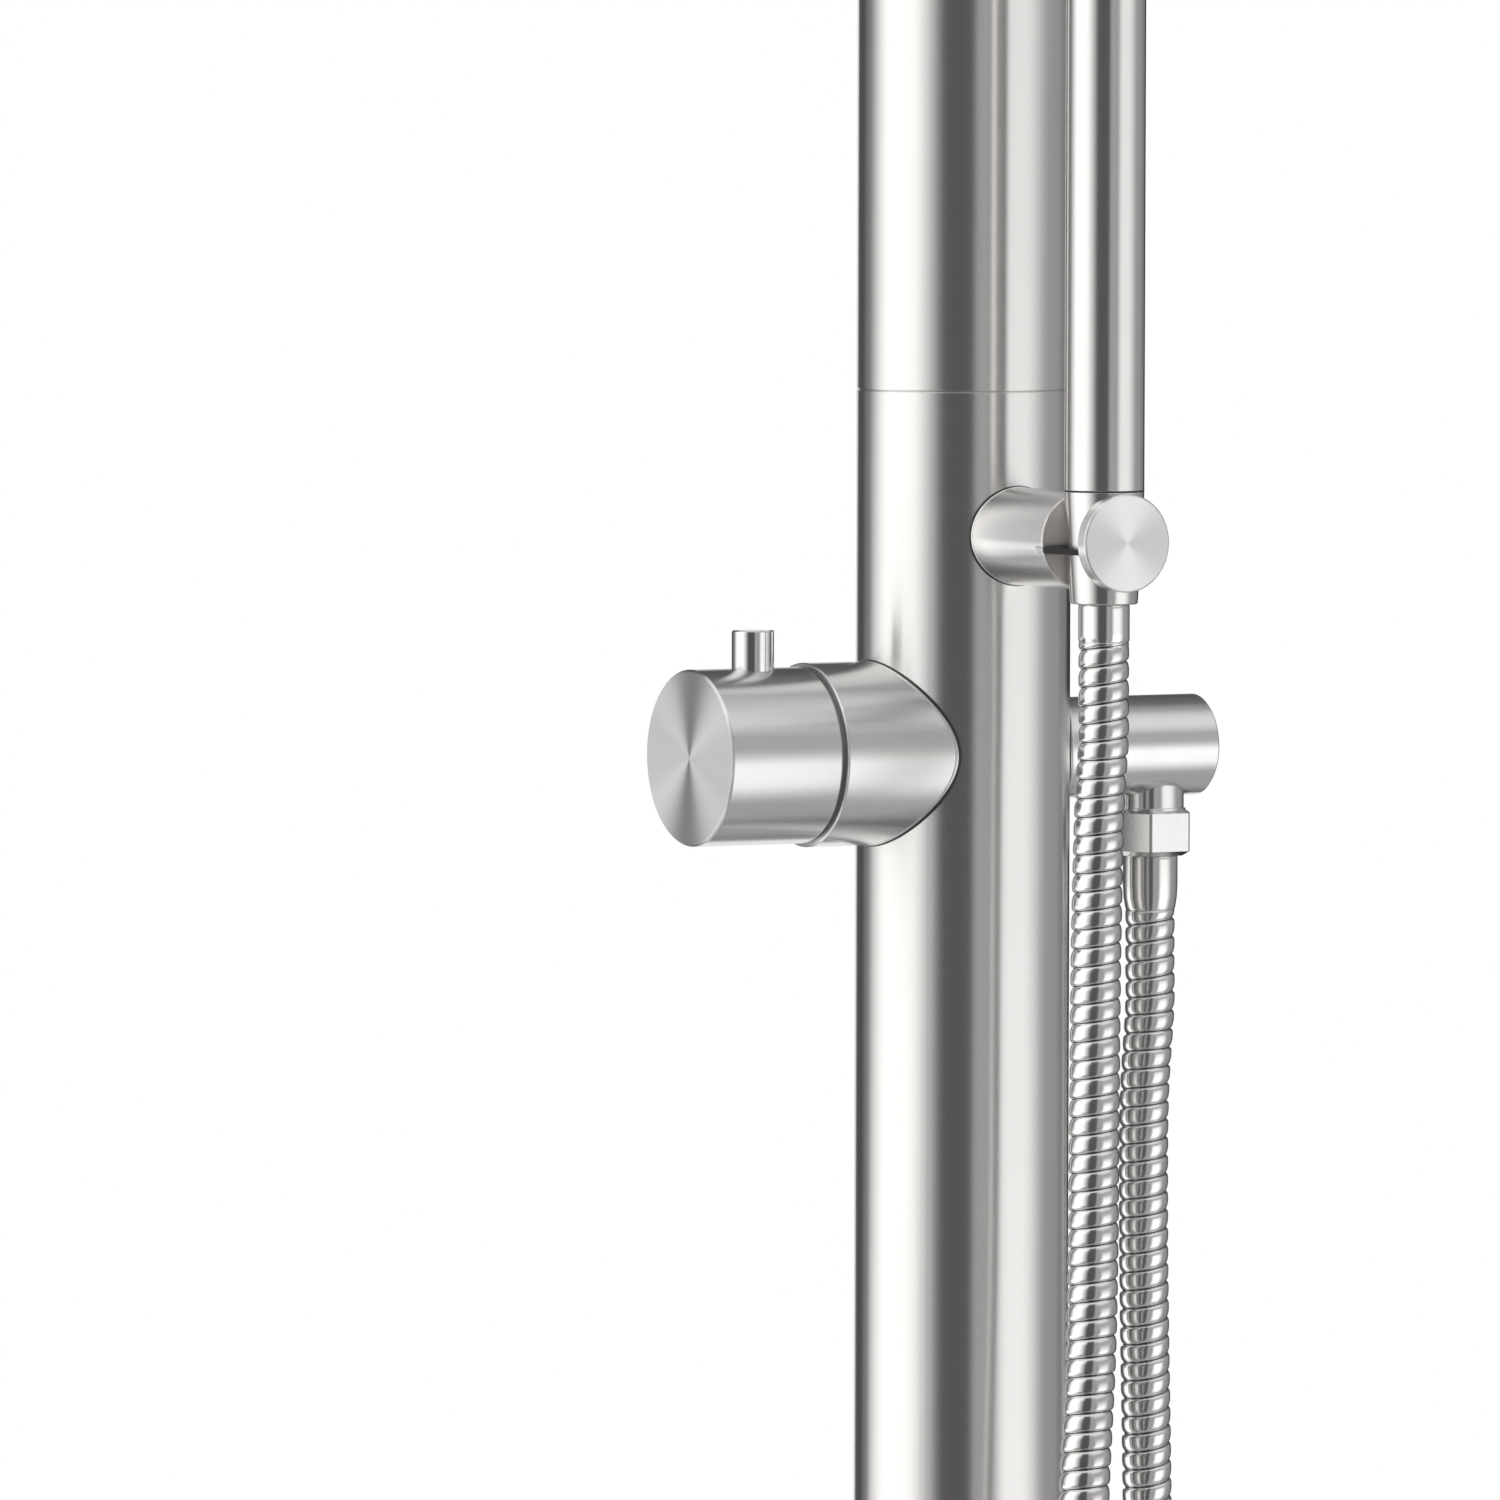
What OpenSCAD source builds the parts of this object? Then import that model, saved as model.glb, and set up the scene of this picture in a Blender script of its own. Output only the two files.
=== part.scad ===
// Outdoor shower post: a round steel column on a bolted base, with a turning mixer control on
// the left, a hand shower in a holder on the front, its hose outlet on the right, and a rain
// head on a straight arm at the top. Millimetres, +Z up. The origin is on the column's axis at
// the floor. The holder and the rain head face -Y, the control faces -X, the outlet faces +X.

/* [Column] */
// Outside diameter of the column tube
column_d = 60; // [54:1:70]
// Wall of the column tube
column_wall = 2; // [1.5:0.1:3]
// Height of the top of the column tube above the floor
column_h = 2190; // [2000:5:2400]
// Height of the joint between the two column tubes above the mixer's axis
seam_above_mixer = 101; // [96:1:140]
// Length of the joint tube inside the column
joint_tube_l = 140; // [100:1:160]
// Wall of the joint tube and of the base spigot
inner_tube_wall = 2.5; // [1.5:0.1:3.5]
// Thickness of the top cap above the tube
cap_t = 3; // [2:0.5:6]

/* [Base] */
// Diameter of the base plate
base_d = 220; // [200:1:280]
// Thickness of the base plate
base_t = 10; // [8:0.5:16]
// Diameter of the hole in the base plate that the water supply comes through
base_bore_d = 46; // [40:1:50]
// Height of the base spigot above the plate
spigot_h = 70; // [60:1:90]
// Diameter of the circle that the anchor holes lie on
anchor_pcd = 170; // [140:1:180]
// Diameter of an anchor hole
anchor_hole_d = 11; // [9:0.5:14]
// Number of anchor holes
anchor_count = 4; // [3:1:8]

/* [Mixer] */
// Height of the mixer's axis above the floor
mixer_h = 1050; // [1000:1:1100]
// Diameter of the mixer's fixed shell
shell_d = 51.2; // [48:0.2:53]
// Distance from the column's axis to the end of the shell
shell_end = 51.2; // [48:0.2:60]
// Width of the groove between the shell and the control knob
groove_w = 1; // [0.8:0.1:2]
// Diameter of the control knob
knob_d = 49; // [46:0.5:52]
// Length of the control knob
knob_l = 35.3; // [33:0.1:42]
// Wall of the control knob
knob_wall = 3; // [2:0.5:4]
// Thickness of the knob's front
knob_front_t = 5; // [3:0.5:7]
// Diameter of the lever pin on the knob
pin_d = 11.8; // [9:0.1:13]
// Height of the lever pin above the knob
pin_h = 10.6; // [8:0.1:20]
// Diameter of the valve body
valve_d = 38; // [36:0.5:39]
// Diameter of the mixing cartridge
cartridge_d = 28; // [26:0.5:30]
// Diameter of the cartridge's spindle
spindle_d = 8; // [7:0.5:9]

/* [Water pipes] */
// Outside diameter of the supply pipes
supply_pipe_d = 10; // [8:0.5:11]
// Distance between the two supply pipes
supply_pitch = 23; // [21:0.5:24]
// Outside diameter of the riser and feed pipes
riser_d = 12; // [10:0.5:14]
// Wall of all the pipes
pipe_wall = 1; // [0.8:0.1:1.5]
// Diameter of the threaded hole of an inlet union
union_bore_d = 15; // [13:0.5:15.5]
// Depth of the threaded hole of an inlet union
union_bore_l = 14; // [10:1:18]
// Outside diameter of an inlet union
union_d = 20; // [18.5:0.5:20.5]
// Length of an inlet union
union_l = 26; // [24:1:34]
// Height of an inlet union's mouth above the base plate
union_above_base = 95; // [92:1:110]

/* [Hose outlet] */
// Diameter of the outlet body
outlet_d = 28.5; // [26:0.5:34]
// Distance from the column's axis to the end of the outlet body
outlet_end = 75.5; // [70:0.5:90]
// Diameter of the collar between the outlet body and the hose nut
outlet_collar_d = 18.8; // [17:0.1:19.6]
// Length of the collar that shows above the hose nut
outlet_collar_l = 3.2; // [1.5:0.1:5]
// Width of the hose nut across its flats
hose_nut_af = 22; // [21.6:0.1:25]
// Length of the hose nut
hose_nut_l = 13.3; // [12:0.1:18]
// Diameter of the hose threads
thread_d = 19.8; // [19:0.1:20]

/* [Hand shower holder] */
// Height of the holder's axis above the mixer's axis
holder_above_mixer = 61; // [56:1:64]
// Diameter of the holder's arm and disc
holder_d = 27; // [26:0.5:30]
// Distance from the column's axis to the flat end of the holder's arm
holder_arm_end = 66; // [58:0.5:67]
// Distance from the arm's flat end to the back of the disc
holder_gap = 18.5; // [17:0.5:22]
// Thickness of the holder's disc
disc_t = 4.5; // [4:0.5:8]
// Thickness of the plate that joins the arm and the disc
holder_plate_t = 1.5; // [1:0.1:3]
// Distance from the holder's axis down to the middle of the plate
plate_drop = 2.5; // [0:0.5:4]
// Width of the open slot that the hose passes through
hose_slot_w = 15; // [14.6:0.1:16]

/* [Hand shower] */
// Distance from the column's axis to the hand shower's axis
handset_reach = 76.5; // [76:0.1:77.5]
// Diameter of the hand shower
handset_d = 22; // [21.6:0.1:23]
// Length of the hand shower's tube
handset_l = 215; // [180:1:260]
// Wall of the hand shower's tube
handset_wall = 1.5; // [1:0.1:2]
// Length of the conical hose nut
cone_l = 31; // [29:0.5:34]
// Diameter of the conical nut's lower end
cone_small_d = 18.6; // [17:0.1:20]
// Height of the conical nut's top above the holder's axis
cone_top_above_holder = 14; // [14:0.5:16]
// Length of the spray face
spray_l = 56; // [40:1:70]
// Width of the spray face
spray_w = 12; // [8:0.5:13]

/* [Hose] */
// Outside diameter of the hose
hose_d = 14; // [12:0.5:14]
// Diameter of the bore of the hose
hose_bore_d = 8; // [6:0.5:9]
// Depth of the grooves between the hose's ribs
rib_depth = 0.7; // [0.4:0.1:1]
// Number of ribs along the hose
rib_count = 190; // [100:1:200]
// Diameter of the ferrule at the hand shower
handset_ferrule_d = 14.2; // [14:0.1:16]
// Length of the ferrule at the hand shower
handset_ferrule_l = 10.5; // [8:0.5:16]
// Diameter of the ferrule at the outlet
outlet_ferrule_d = 15.5; // [14:0.1:17]
// Length of the ferrule at the outlet
outlet_ferrule_l = 15.5; // [10:0.5:20]

/* [Rain head] */
// Distance from the top of the column tube down to the shower arm's axis
arm_below_top = 60; // [50:1:120]
// Diameter of the shower arm
arm_d = 24; // [22:0.5:28]
// Wall of the shower arm
arm_wall = 1.5; // [1:0.1:3]
// Distance from the column's axis to the rain head's axis
head_reach = 400; // [300:1:450]
// Diameter of the rain head
head_d = 220; // [160:1:260]
// Thickness of the rain head
head_t = 8; // [8:0.5:12]
// Diameter of the swivel ball
ball_d = 20; // [18:0.5:22]
// Diameter of a spray nozzle
nozzle_d = 3; // [2.6:0.1:3.4]
// Distance between the rings of nozzles
nozzle_pitch = 18; // [15:0.5:24]

/* [Hidden] */
$fn = 64;

steel = [0.74, 0.74, 0.73];
turned_steel = [0.80, 0.80, 0.79];
brass = [0.80, 0.66, 0.36];
dark_plastic = [0.13, 0.13, 0.14];
pale_plastic = [0.88, 0.88, 0.86];
rubber = [0.16, 0.16, 0.17];
silicone = [0.62, 0.63, 0.65];

// Clearances and the overrun of every cut
slip_gap = 0.3;
fit_gap = 0.1;
shaft_gap = 0.05;
ball_gap = 0.3;
over = 2;

// Column
column_r = column_d / 2;
column_bore_r = column_r - column_wall;
inner_tube_r = column_bore_r - slip_gap;
seam_h = mixer_h + seam_above_mixer;
seam_chamfer = 0.3;
cap_chamfer = 0.8;
cap_plug_l = 12;
cap_plug_wall = 2;

// Screws that hold the column on its inner tubes
screw_d = 6;
screw_socket_af = 3;
screw_socket_depth = 2;
screw_sink = 0.4;
base_screw_angles = [90, 210, 330];
joint_screw_angles = [60, 120];
screw_h_share = 0.5;
base_screw_h = base_t + screw_h_share * spigot_h;
joint_screw_low_h = seam_h - screw_h_share * joint_tube_l / 2;
joint_screw_high_h = seam_h + screw_h_share * joint_tube_l / 2;

// Base
base_chamfer = 1;
anchor_first_angle = 45;

// Mixer: distances along its own axis, measured from the column's axis
knob_start = shell_end + groove_w;
knob_end = knob_start + knob_l;
knob_chamfer = 0.6;
knob_cavity_end = knob_end - knob_front_t;
knob_hub_wall = 4;
knob_hub_d = spindle_d + 2 * knob_hub_wall;
knob_hub_share = 0.6;
knob_hub_l = knob_hub_share * knob_l;
glide_ring_t = 4;
glide_rim = 2.2;
glide_ring_d = shell_d - 2 * glide_rim;
glide_ring_start = shell_end + groove_w - glide_ring_t;
glide_gap = 0.25;
valve_inner_end = 10;
valve_recess = 6;
valve_outer_end = shell_end - valve_recess;
cavity_floor = 12;
cavity_d = cartridge_d + 2 * fit_gap;
cartridge_nut_l = 6;
cartridge_body_end = valve_outer_end - cartridge_nut_l - fit_gap;
cartridge_step = 5;
cartridge_neck_d = cartridge_d - 2 * cartridge_step;
cartridge_neck_stand = 1;
cartridge_neck_end = valve_outer_end + cartridge_neck_stand;
spindle_start = 30;
spindle_end_gap = 4;
spindle_end = knob_cavity_end - spindle_end_gap;
pin_middle_share = 0.43;
pin_at = knob_start + pin_middle_share * knob_l;
pin_chamfer = 0.4;
pin_seat_depth = 1;
pin_shank_d = 6;
valve_channel_d = 5;
valve_channel_drop = 7;
valve_channel_share = 0.75;

// Water pipes
supply_y = supply_pitch / 2;
supply_socket_drop = 5;
riser_socket_rise = 6;
feed_socket_l = 6;
feed_overlap = 8;
riser_bend_r = 16;
union_socket_l = 8;
union_low_h = base_t + union_above_base;
supply_pipe_low_h = union_low_h + union_l - union_socket_l + fit_gap;
arm_h = column_h - arm_below_top;
arm_tail_gap = 1;
arm_tail_end = riser_bend_r + arm_tail_gap;
riser_top_h = arm_h - riser_bend_r;
riser_pipe_end = arm_tail_end + feed_overlap;

// Hose outlet: heights below the mixer's axis
outlet_r = outlet_d / 2;
outlet_x = outlet_end - outlet_r;
outlet_chamfer = 0.5;
outlet_spigot_d = 20;
outlet_spigot_end = 20;
outlet_bore_d = riser_d + 2 * fit_gap;
nipple_stub_d = 14;
nipple_bore_d = 9;
collar_low = outlet_r + outlet_collar_l;
nut_floor_t = 2.2;
washer_t = 2;
washer_inner_d = 11;
check_valve_l = 8;
check_valve_wall = 1.5;
hose_nut_chamfer = 0.8;
nut_low = collar_low + hose_nut_l;
outlet_ferrule_low = nut_low + outlet_ferrule_l;

// Holder and hand shower
holder_h = mixer_h + holder_above_mixer;
holder_r = holder_d / 2;
disc_back = holder_arm_end + holder_gap;
disc_face = disc_back + disc_t;
disc_chamfer = 0.5;
seat_gap = 0.35;
plate_tongue_l = 4;
plate_mid_h = holder_h - plate_drop;
cone_top_h = holder_h + cone_top_above_holder;
cone_low_h = cone_top_h - cone_l;
cone_share_at_plate = (plate_mid_h + holder_plate_t / 2 - cone_low_h) / cone_l;
plate_hole_d = cone_small_d + (handset_d - cone_small_d) * cone_share_at_plate + 2 * seat_gap;
ferrule_low_h = cone_low_h - handset_ferrule_l;
seam_line = 0.3;
handset_r = handset_d / 2;
handset_bore_r = handset_r - handset_wall;
handset_thread_l = 9;
cone_floor_h = cone_top_h - handset_thread_l - washer_t;
inlet_up = 16;
handset_top_h = cone_top_h + handset_l;
handset_cap_t = 2.5;
handset_cap_plug_l = 6;
spray_below_top = 8;
spray_mid_h = handset_top_h - spray_below_top - spray_l / 2;
spray_lip = 1.2;
spray_back_t = 2;
spray_stand = 0.8;
spray_rows = 2;
spray_row_pitch = 5;
spray_columns = 10;
spray_nub_d = 1.4;

// Rain head: the arm's neck, the ball and the head hang below the arm's axis
arm_past_neck = 8;
arm_end = head_reach + arm_d / 2 + arm_past_neck;
arm_end_wall = 2;
arm_chamfer = 0.6;
arm_tail_d = 18;
neck_d = 24;
neck_drop = 6;
neck_thread_l = 9;
neck_low_h = arm_h - arm_d / 2 - neck_drop;
ball_inlet_d = 26;
ball_inlet_l = 14;
ball_neck_d = 11;
ball_neck_l = 3;
ball_inlet_bore_d = 6;
ball_h = neck_low_h - ball_inlet_l - ball_neck_l - ball_d / 2;
collar_d = 32;
collar_up = 6;
collar_down = 15;
collar_chamfer = 1;
collar_thread_d = 26;
seat_top_drop = 1.2;
seat_low_drop = 10.5;
head_top_h = ball_h - collar_down;
head_low_h = head_top_h - head_t;
head_wall = 2;
head_edge = 1;
plate_t = 2;
plate_high_h = head_low_h + plate_t;
mat_t = 1.5;
mat_gap = 0.1;
mat_margin = 4;
nozzle_hole_gap = 0.25;
nozzle_stand = 1.6;
nozzle_margin = 12;
nozzle_rings = floor((head_d / 2 - nozzle_margin) / nozzle_pitch);
nozzles_per_ring = 6;

// Hose route: points chosen by hand between the two ferrules, from the hand shower's side,
// down round the hanging loop and up to the outlet
hose_sides = 8;
bore_ring_count = 78;
hose_hand_points = [
    [-0.8, -76, 1040], [-1.5, -75.5, 1000], [-1.9, -75.5, 950], [-2.4, -76, 915], [-4, -77.5, 885],
    [-7.5, -80, 845], [-11, -84, 790], [-14, -89.5, 725], [-16.6, -95, 655], [-18.5, -99.6, 594],
    [-19.1, -101.2, 548], [-19.3, -101.8, 502], [-19.3, -101.8, 456], [-12.8, -93.3, 412],
    [4.9, -69.9, 379.8], [29, -38, 368], [53.1, -6.1, 379.8], [70.8, 17.3, 412], [77.3, 25.8, 456],
    [77.3, 25.8, 502], [77.1, 25.2, 548], [76.3, 23.6, 594], [74.6, 20, 655], [72, 16, 725],
    [68.2, 10.6, 790], [64.5, 6, 845], [61.5, 2.5, 885], [60, 0.8, 915], [59.6, 0, 950]];
hose_start = [0, -handset_reach, ferrule_low_h];
hose_finish = [outlet_x, 0, mixer_h - outlet_ferrule_low];
hose_down = [0, 0, -hose_d];
hose_points = concat([hose_start, hose_start + hose_down, hose_start + 2 * hose_down],
    hose_hand_points, [hose_finish + 2 * hose_down, hose_finish + hose_down, hose_finish]);
curve_steps = 10;
loop_across = [outlet_x, handset_reach, 0];

// A point of the smooth curve through the route, in the stretch after point i, a share t along
function route_at(p, i, t) =
    let (a = p[max(i - 1, 0)], b = p[i], c = p[i + 1], d = p[min(i + 2, len(p) - 1)])
    ((b * 2) + (c - a) * t + (a * 2 - b * 5 + c * 4 - d) * t * t
        + (b * 3 - a - c * 3 + d) * t * t * t) / 2;
route_curve = concat(
    [for (i = [0 : len(hose_points) - 2], k = [0 : curve_steps - 1])
        route_at(hose_points, i, k / curve_steps)],
    [hose_finish]);
// Length along the curve up to each of its points
route_run = [for (i = 0, run = 0; i < len(route_curve);
    run = run + (i + 1 < len(route_curve) ? norm(route_curve[i + 1] - route_curve[i]) : 0),
    i = i + 1) run];
hose_l = route_run[len(route_run) - 1];
route_x = [for (i = [0 : len(route_run) - 1]) [route_run[i], route_curve[i][0]]];
route_y = [for (i = [0 : len(route_run) - 1]) [route_run[i], route_curve[i][1]]];
route_z = [for (i = [0 : len(route_run) - 1]) [route_run[i], route_curve[i][2]]];
function place_at(s) = [lookup(s, route_x), lookup(s, route_y), lookup(s, route_z)];
function unit(v) = v / norm(v);
function heading_at(s) =
    unit(place_at(min(s + hose_d / 4, hose_l)) - place_at(max(s - hose_d / 4, 0)));
// One ring of points round the route
function ring_at(s, r) =
    let (t = heading_at(s), a = unit(cross(t, loop_across)), b = cross(a, t), c = place_at(s))
    [for (k = [0 : hose_sides - 1])
        c + r * (cos(360 * k / hose_sides) * a + sin(360 * k / hose_sides) * b)];

// Moves a shape drawn along +Z onto the mixer's, the outlet's or a front-facing axis
module along_left(h) {
    translate([0, 0, h]) rotate([0, -90, 0]) children();
}
module along_right(h) {
    translate([0, 0, h]) rotate([0, 90, 0]) children();
}
module along_front(h) {
    translate([0, 0, h]) rotate([90, 0, 0]) children();
}
// A round bar between two heights on its own axis
module bar(d, low, high) {
    translate([0, 0, low]) cylinder(d = d, h = high - low);
}
// A round bar with a chamfer round its far end
module chamfered_bar(d, low, high, chamfer) {
    bar(d, low, high - chamfer);
    translate([0, 0, high - chamfer]) cylinder(d1 = d, d2 = d - 2 * chamfer, h = chamfer);
}
// A round bar with a chamfer round both ends
module double_chamfered_bar(d, low, high, chamfer) {
    translate([0, 0, low]) cylinder(d1 = d - 2 * chamfer, d2 = d, h = chamfer);
    chamfered_bar(d, low + chamfer, high, chamfer);
}
// The column's outside, as a cutter for what is welded on it
module column_cutter() {
    bar(column_d, -over, column_h + cap_t + over);
}
// Holes through a tube wall for screws at the given angles
module screw_holes(h, angles, gap) {
    for (angle = angles) translate([0, 0, h]) rotate([0, 90, angle])
        bar(screw_d + 2 * gap, 0, column_r + over);
}
// Socket set screws at the given angles, a little below the column's surface
module set_screws(h, angles) {
    for (angle = angles) translate([0, 0, h]) rotate([0, 90, angle]) difference() {
        bar(screw_d, inner_tube_r - inner_tube_wall, column_r - screw_sink);
        translate([0, 0, column_r - screw_sink - screw_socket_depth])
            cylinder(d = screw_socket_af / cos(30), h = screw_socket_depth + over, $fn = 6);
    }
}

module base_flange() {
    color(steel) difference() {
        union() {
            chamfered_bar(base_d, 0, base_t, base_chamfer);
            bar(2 * inner_tube_r, base_t - base_chamfer, base_t + spigot_h);
        }
        bar(base_bore_d, -over, base_t + over);
        bar(2 * (inner_tube_r - inner_tube_wall), base_t, base_t + spigot_h + over);
        for (k = [0 : anchor_count - 1]) rotate([0, 0, anchor_first_angle + 360 * k / anchor_count])
            translate([anchor_pcd / 2, 0, 0]) bar(anchor_hole_d, -over, base_t + over);
        screw_holes(base_screw_h, base_screw_angles, shaft_gap);
    }
}

module lower_column() {
    color(steel) difference() {
        chamfered_bar(column_d, base_t, seam_h, seam_chamfer);
        bar(2 * column_bore_r, 0, seam_h + over);
        along_left(mixer_h) bar(valve_d + 2 * slip_gap, 0, column_r + over);
        along_right(mixer_h) bar(outlet_spigot_d + 2 * fit_gap, 0, column_r + over);
        screw_holes(base_screw_h, base_screw_angles, fit_gap);
        screw_holes(joint_screw_low_h, joint_screw_angles, fit_gap);
    }
}

module upper_column() {
    color(steel) difference() {
        union() {
            translate([0, 0, seam_h])
                cylinder(d1 = column_d - 2 * seam_chamfer, d2 = column_d, h = seam_chamfer);
            bar(column_d, seam_h + seam_chamfer, column_h);
        }
        bar(2 * column_bore_r, seam_h - over, column_h + over);
        along_front(arm_h) bar(arm_tail_d + 2 * fit_gap, 0, column_r + over);
        screw_holes(joint_screw_high_h, joint_screw_angles, fit_gap);
    }
}

module joint_tube() {
    color(steel) difference() {
        bar(2 * inner_tube_r, seam_h - joint_tube_l / 2, seam_h + joint_tube_l / 2);
        bar(2 * (inner_tube_r - inner_tube_wall), seam_h - joint_tube_l, seam_h + joint_tube_l);
        screw_holes(joint_screw_low_h, joint_screw_angles, shaft_gap);
        screw_holes(joint_screw_high_h, joint_screw_angles, shaft_gap);
    }
}

module column_cap() {
    color(turned_steel) difference() {
        union() {
            chamfered_bar(column_d, column_h, column_h + cap_t, cap_chamfer);
            bar(2 * (column_bore_r - fit_gap), column_h - cap_plug_l, column_h + cap_chamfer);
        }
        bar(2 * (column_bore_r - fit_gap - cap_plug_wall), column_h - cap_plug_l - over, column_h);
    }
}

module base_screws() {
    color(turned_steel) set_screws(base_screw_h, base_screw_angles);
}

module joint_screws() {
    color(turned_steel) {
        set_screws(joint_screw_low_h, joint_screw_angles);
        set_screws(joint_screw_high_h, joint_screw_angles);
    }
}

module mixer_shell() {
    color(steel) difference() {
        along_left(mixer_h) chamfered_bar(shell_d, 0, shell_end, seam_chamfer);
        column_cutter();
        along_left(mixer_h) {
            bar(valve_d + 2 * slip_gap, 0, shell_end + over);
            bar(glide_ring_d + 2 * fit_gap, glide_ring_start, shell_end + over);
        }
    }
}

module glide_ring() {
    color(dark_plastic) along_left(mixer_h) difference() {
        bar(glide_ring_d, glide_ring_start, knob_start - glide_gap);
        bar(valve_d + 2 * slip_gap, 0, knob_start + over);
    }
}

module valve_body() {
    color(brass) difference() {
        along_left(mixer_h) bar(valve_d, -valve_inner_end, valve_outer_end);
        along_left(mixer_h) {
            bar(cavity_d, cavity_floor, valve_outer_end + over);
            for (side = [-1, 1])
                translate([-valve_channel_drop, side * valve_channel_share * supply_y, 0])
                    bar(valve_channel_d, 0, cavity_floor + over);
            translate([riser_socket_rise + valve_channel_d / 2, 0, 0])
                bar(valve_channel_d, 0, cavity_floor + over);
            bar(valve_channel_d, -valve_inner_end, cavity_floor + over);
            bar(riser_d + 2 * fit_gap, -valve_inner_end - over, feed_socket_l - valve_inner_end);
        }
        for (side = [-1, 1]) translate([0, side * supply_y, 0])
            bar(supply_pipe_d + 2 * fit_gap, mixer_h - valve_d, mixer_h - supply_socket_drop);
        bar(riser_d + 2 * fit_gap, mixer_h + riser_socket_rise, mixer_h + valve_d);
    }
}

module mixer_cartridge() {
    color(pale_plastic) along_left(mixer_h) difference() {
        union() {
            bar(cartridge_d, cavity_floor, cartridge_body_end);
            bar(cartridge_neck_d, cavity_floor, cartridge_neck_end);
        }
        bar(spindle_d + 2 * shaft_gap, spindle_start - shaft_gap, cartridge_neck_end + over);
    }
}

module cartridge_nut() {
    color(brass) along_left(mixer_h) difference() {
        bar(cartridge_d, cartridge_body_end, valve_outer_end);
        bar(cartridge_neck_d + 2 * fit_gap, 0, valve_outer_end + over);
    }
}

module mixer_spindle() {
    color(turned_steel) along_left(mixer_h) bar(spindle_d, spindle_start, spindle_end);
}

module mixer_knob() {
    color(turned_steel) along_left(mixer_h) difference() {
        union() {
            difference() {
                double_chamfered_bar(knob_d, knob_start, knob_end, knob_chamfer);
                bar(knob_d - 2 * knob_wall, knob_start - over, knob_cavity_end);
            }
            bar(knob_hub_d, knob_end - knob_hub_l, knob_cavity_end + knob_chamfer);
        }
        bar(spindle_d + 2 * shaft_gap, knob_start - over, spindle_end + shaft_gap);
        translate([0, 0, pin_at]) rotate([0, 90, 0]) {
            bar(pin_d + 2 * fit_gap, knob_d / 2 - pin_seat_depth, knob_d);
            bar(pin_shank_d + 2 * fit_gap, 0, knob_d);
        }
    }
}

module knob_pin() {
    color(turned_steel) along_left(mixer_h) translate([0, 0, pin_at]) rotate([0, 90, 0]) {
        chamfered_bar(pin_d, knob_d / 2 - pin_seat_depth, knob_d / 2 + pin_h, pin_chamfer);
        bar(pin_shank_d, spindle_d / 2 + shaft_gap, knob_d / 2);
    }
}

// A straight supply pipe from its inlet union up into the valve body
module supply_pipe(y) {
    translate([0, y, 0]) difference() {
        bar(supply_pipe_d, supply_pipe_low_h, mixer_h - supply_socket_drop - fit_gap);
        bar(supply_pipe_d - 2 * pipe_wall, supply_pipe_low_h - over, mixer_h);
    }
}

module cold_supply_pipe() {
    color(steel) supply_pipe(-supply_y);
}

module hot_supply_pipe() {
    color(steel) supply_pipe(supply_y);
}

module inlet_unions() {
    color(brass) for (side = [-1, 1]) translate([0, side * supply_y, union_low_h]) difference() {
        bar(union_d, 0, union_l);
        bar(union_bore_d, -over, union_bore_l);
        bar(supply_pipe_d - 2 * pipe_wall, 0, union_l);
        bar(supply_pipe_d + 2 * fit_gap, union_l - union_socket_l, union_l + over);
    }
}

module riser_pipe() {
    color(steel) difference() {
        union() {
            bar(riser_d, mixer_h + riser_socket_rise + fit_gap, riser_top_h);
            translate([0, 0, riser_top_h]) riser_bend(riser_d);
            along_front(arm_h) bar(riser_d, riser_bend_r, riser_pipe_end);
        }
        bar(riser_d - 2 * pipe_wall, mixer_h, riser_top_h);
        translate([0, 0, riser_top_h]) riser_bend(riser_d - 2 * pipe_wall);
        along_front(arm_h) bar(riser_d - 2 * pipe_wall, riser_bend_r, riser_pipe_end + over);
    }
}
// A quarter bend from +Z to -Y
module riser_bend(d) {
    translate([0, -riser_bend_r, 0]) rotate([90, 0, 90])
        rotate_extrude(angle = 90) translate([riser_bend_r, 0]) circle(d = d);
}

module outlet_feed_pipe() {
    color(steel) along_right(mixer_h) difference() {
        bar(riser_d, valve_inner_end - feed_socket_l + fit_gap, outlet_spigot_end + feed_overlap);
        bar(riser_d - 2 * pipe_wall, 0, outlet_end);
    }
}

module outlet_body() {
    color(steel) difference() {
        union() {
            difference() {
                along_right(mixer_h) chamfered_bar(outlet_d, 0, outlet_end, outlet_chamfer);
                column_cutter();
            }
            along_right(mixer_h) bar(outlet_spigot_d, outlet_spigot_end, column_r + over);
        }
        along_right(mixer_h) bar(outlet_bore_d, 0, outlet_x + nipple_bore_d / 2);
        translate([outlet_x, 0, mixer_h]) bar(nipple_stub_d + 2 * fit_gap, -outlet_d, 0);
    }
}

module outlet_nipple() {
    color(steel) translate([outlet_x, 0, mixer_h]) difference() {
        union() {
            difference() {
                bar(outlet_collar_d, -collar_low, 0);
                rotate([0, 90, 0]) bar(outlet_d, -outlet_d, outlet_d);
            }
            bar(nipple_stub_d, -collar_low, -outlet_bore_d / 2);
            bar(thread_d, -collar_low - hose_nut_l + nut_floor_t + washer_t, -collar_low);
        }
        bar(nipple_bore_d, -nut_low, 0);
    }
}

module check_valve() {
    color(pale_plastic) translate([outlet_x, 0, mixer_h - collar_low]) difference() {
        bar(nipple_bore_d - 2 * fit_gap, -check_valve_l, 0);
        bar(nipple_bore_d - 2 * fit_gap - 2 * check_valve_wall, -nut_low, outlet_r);
    }
}

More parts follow.
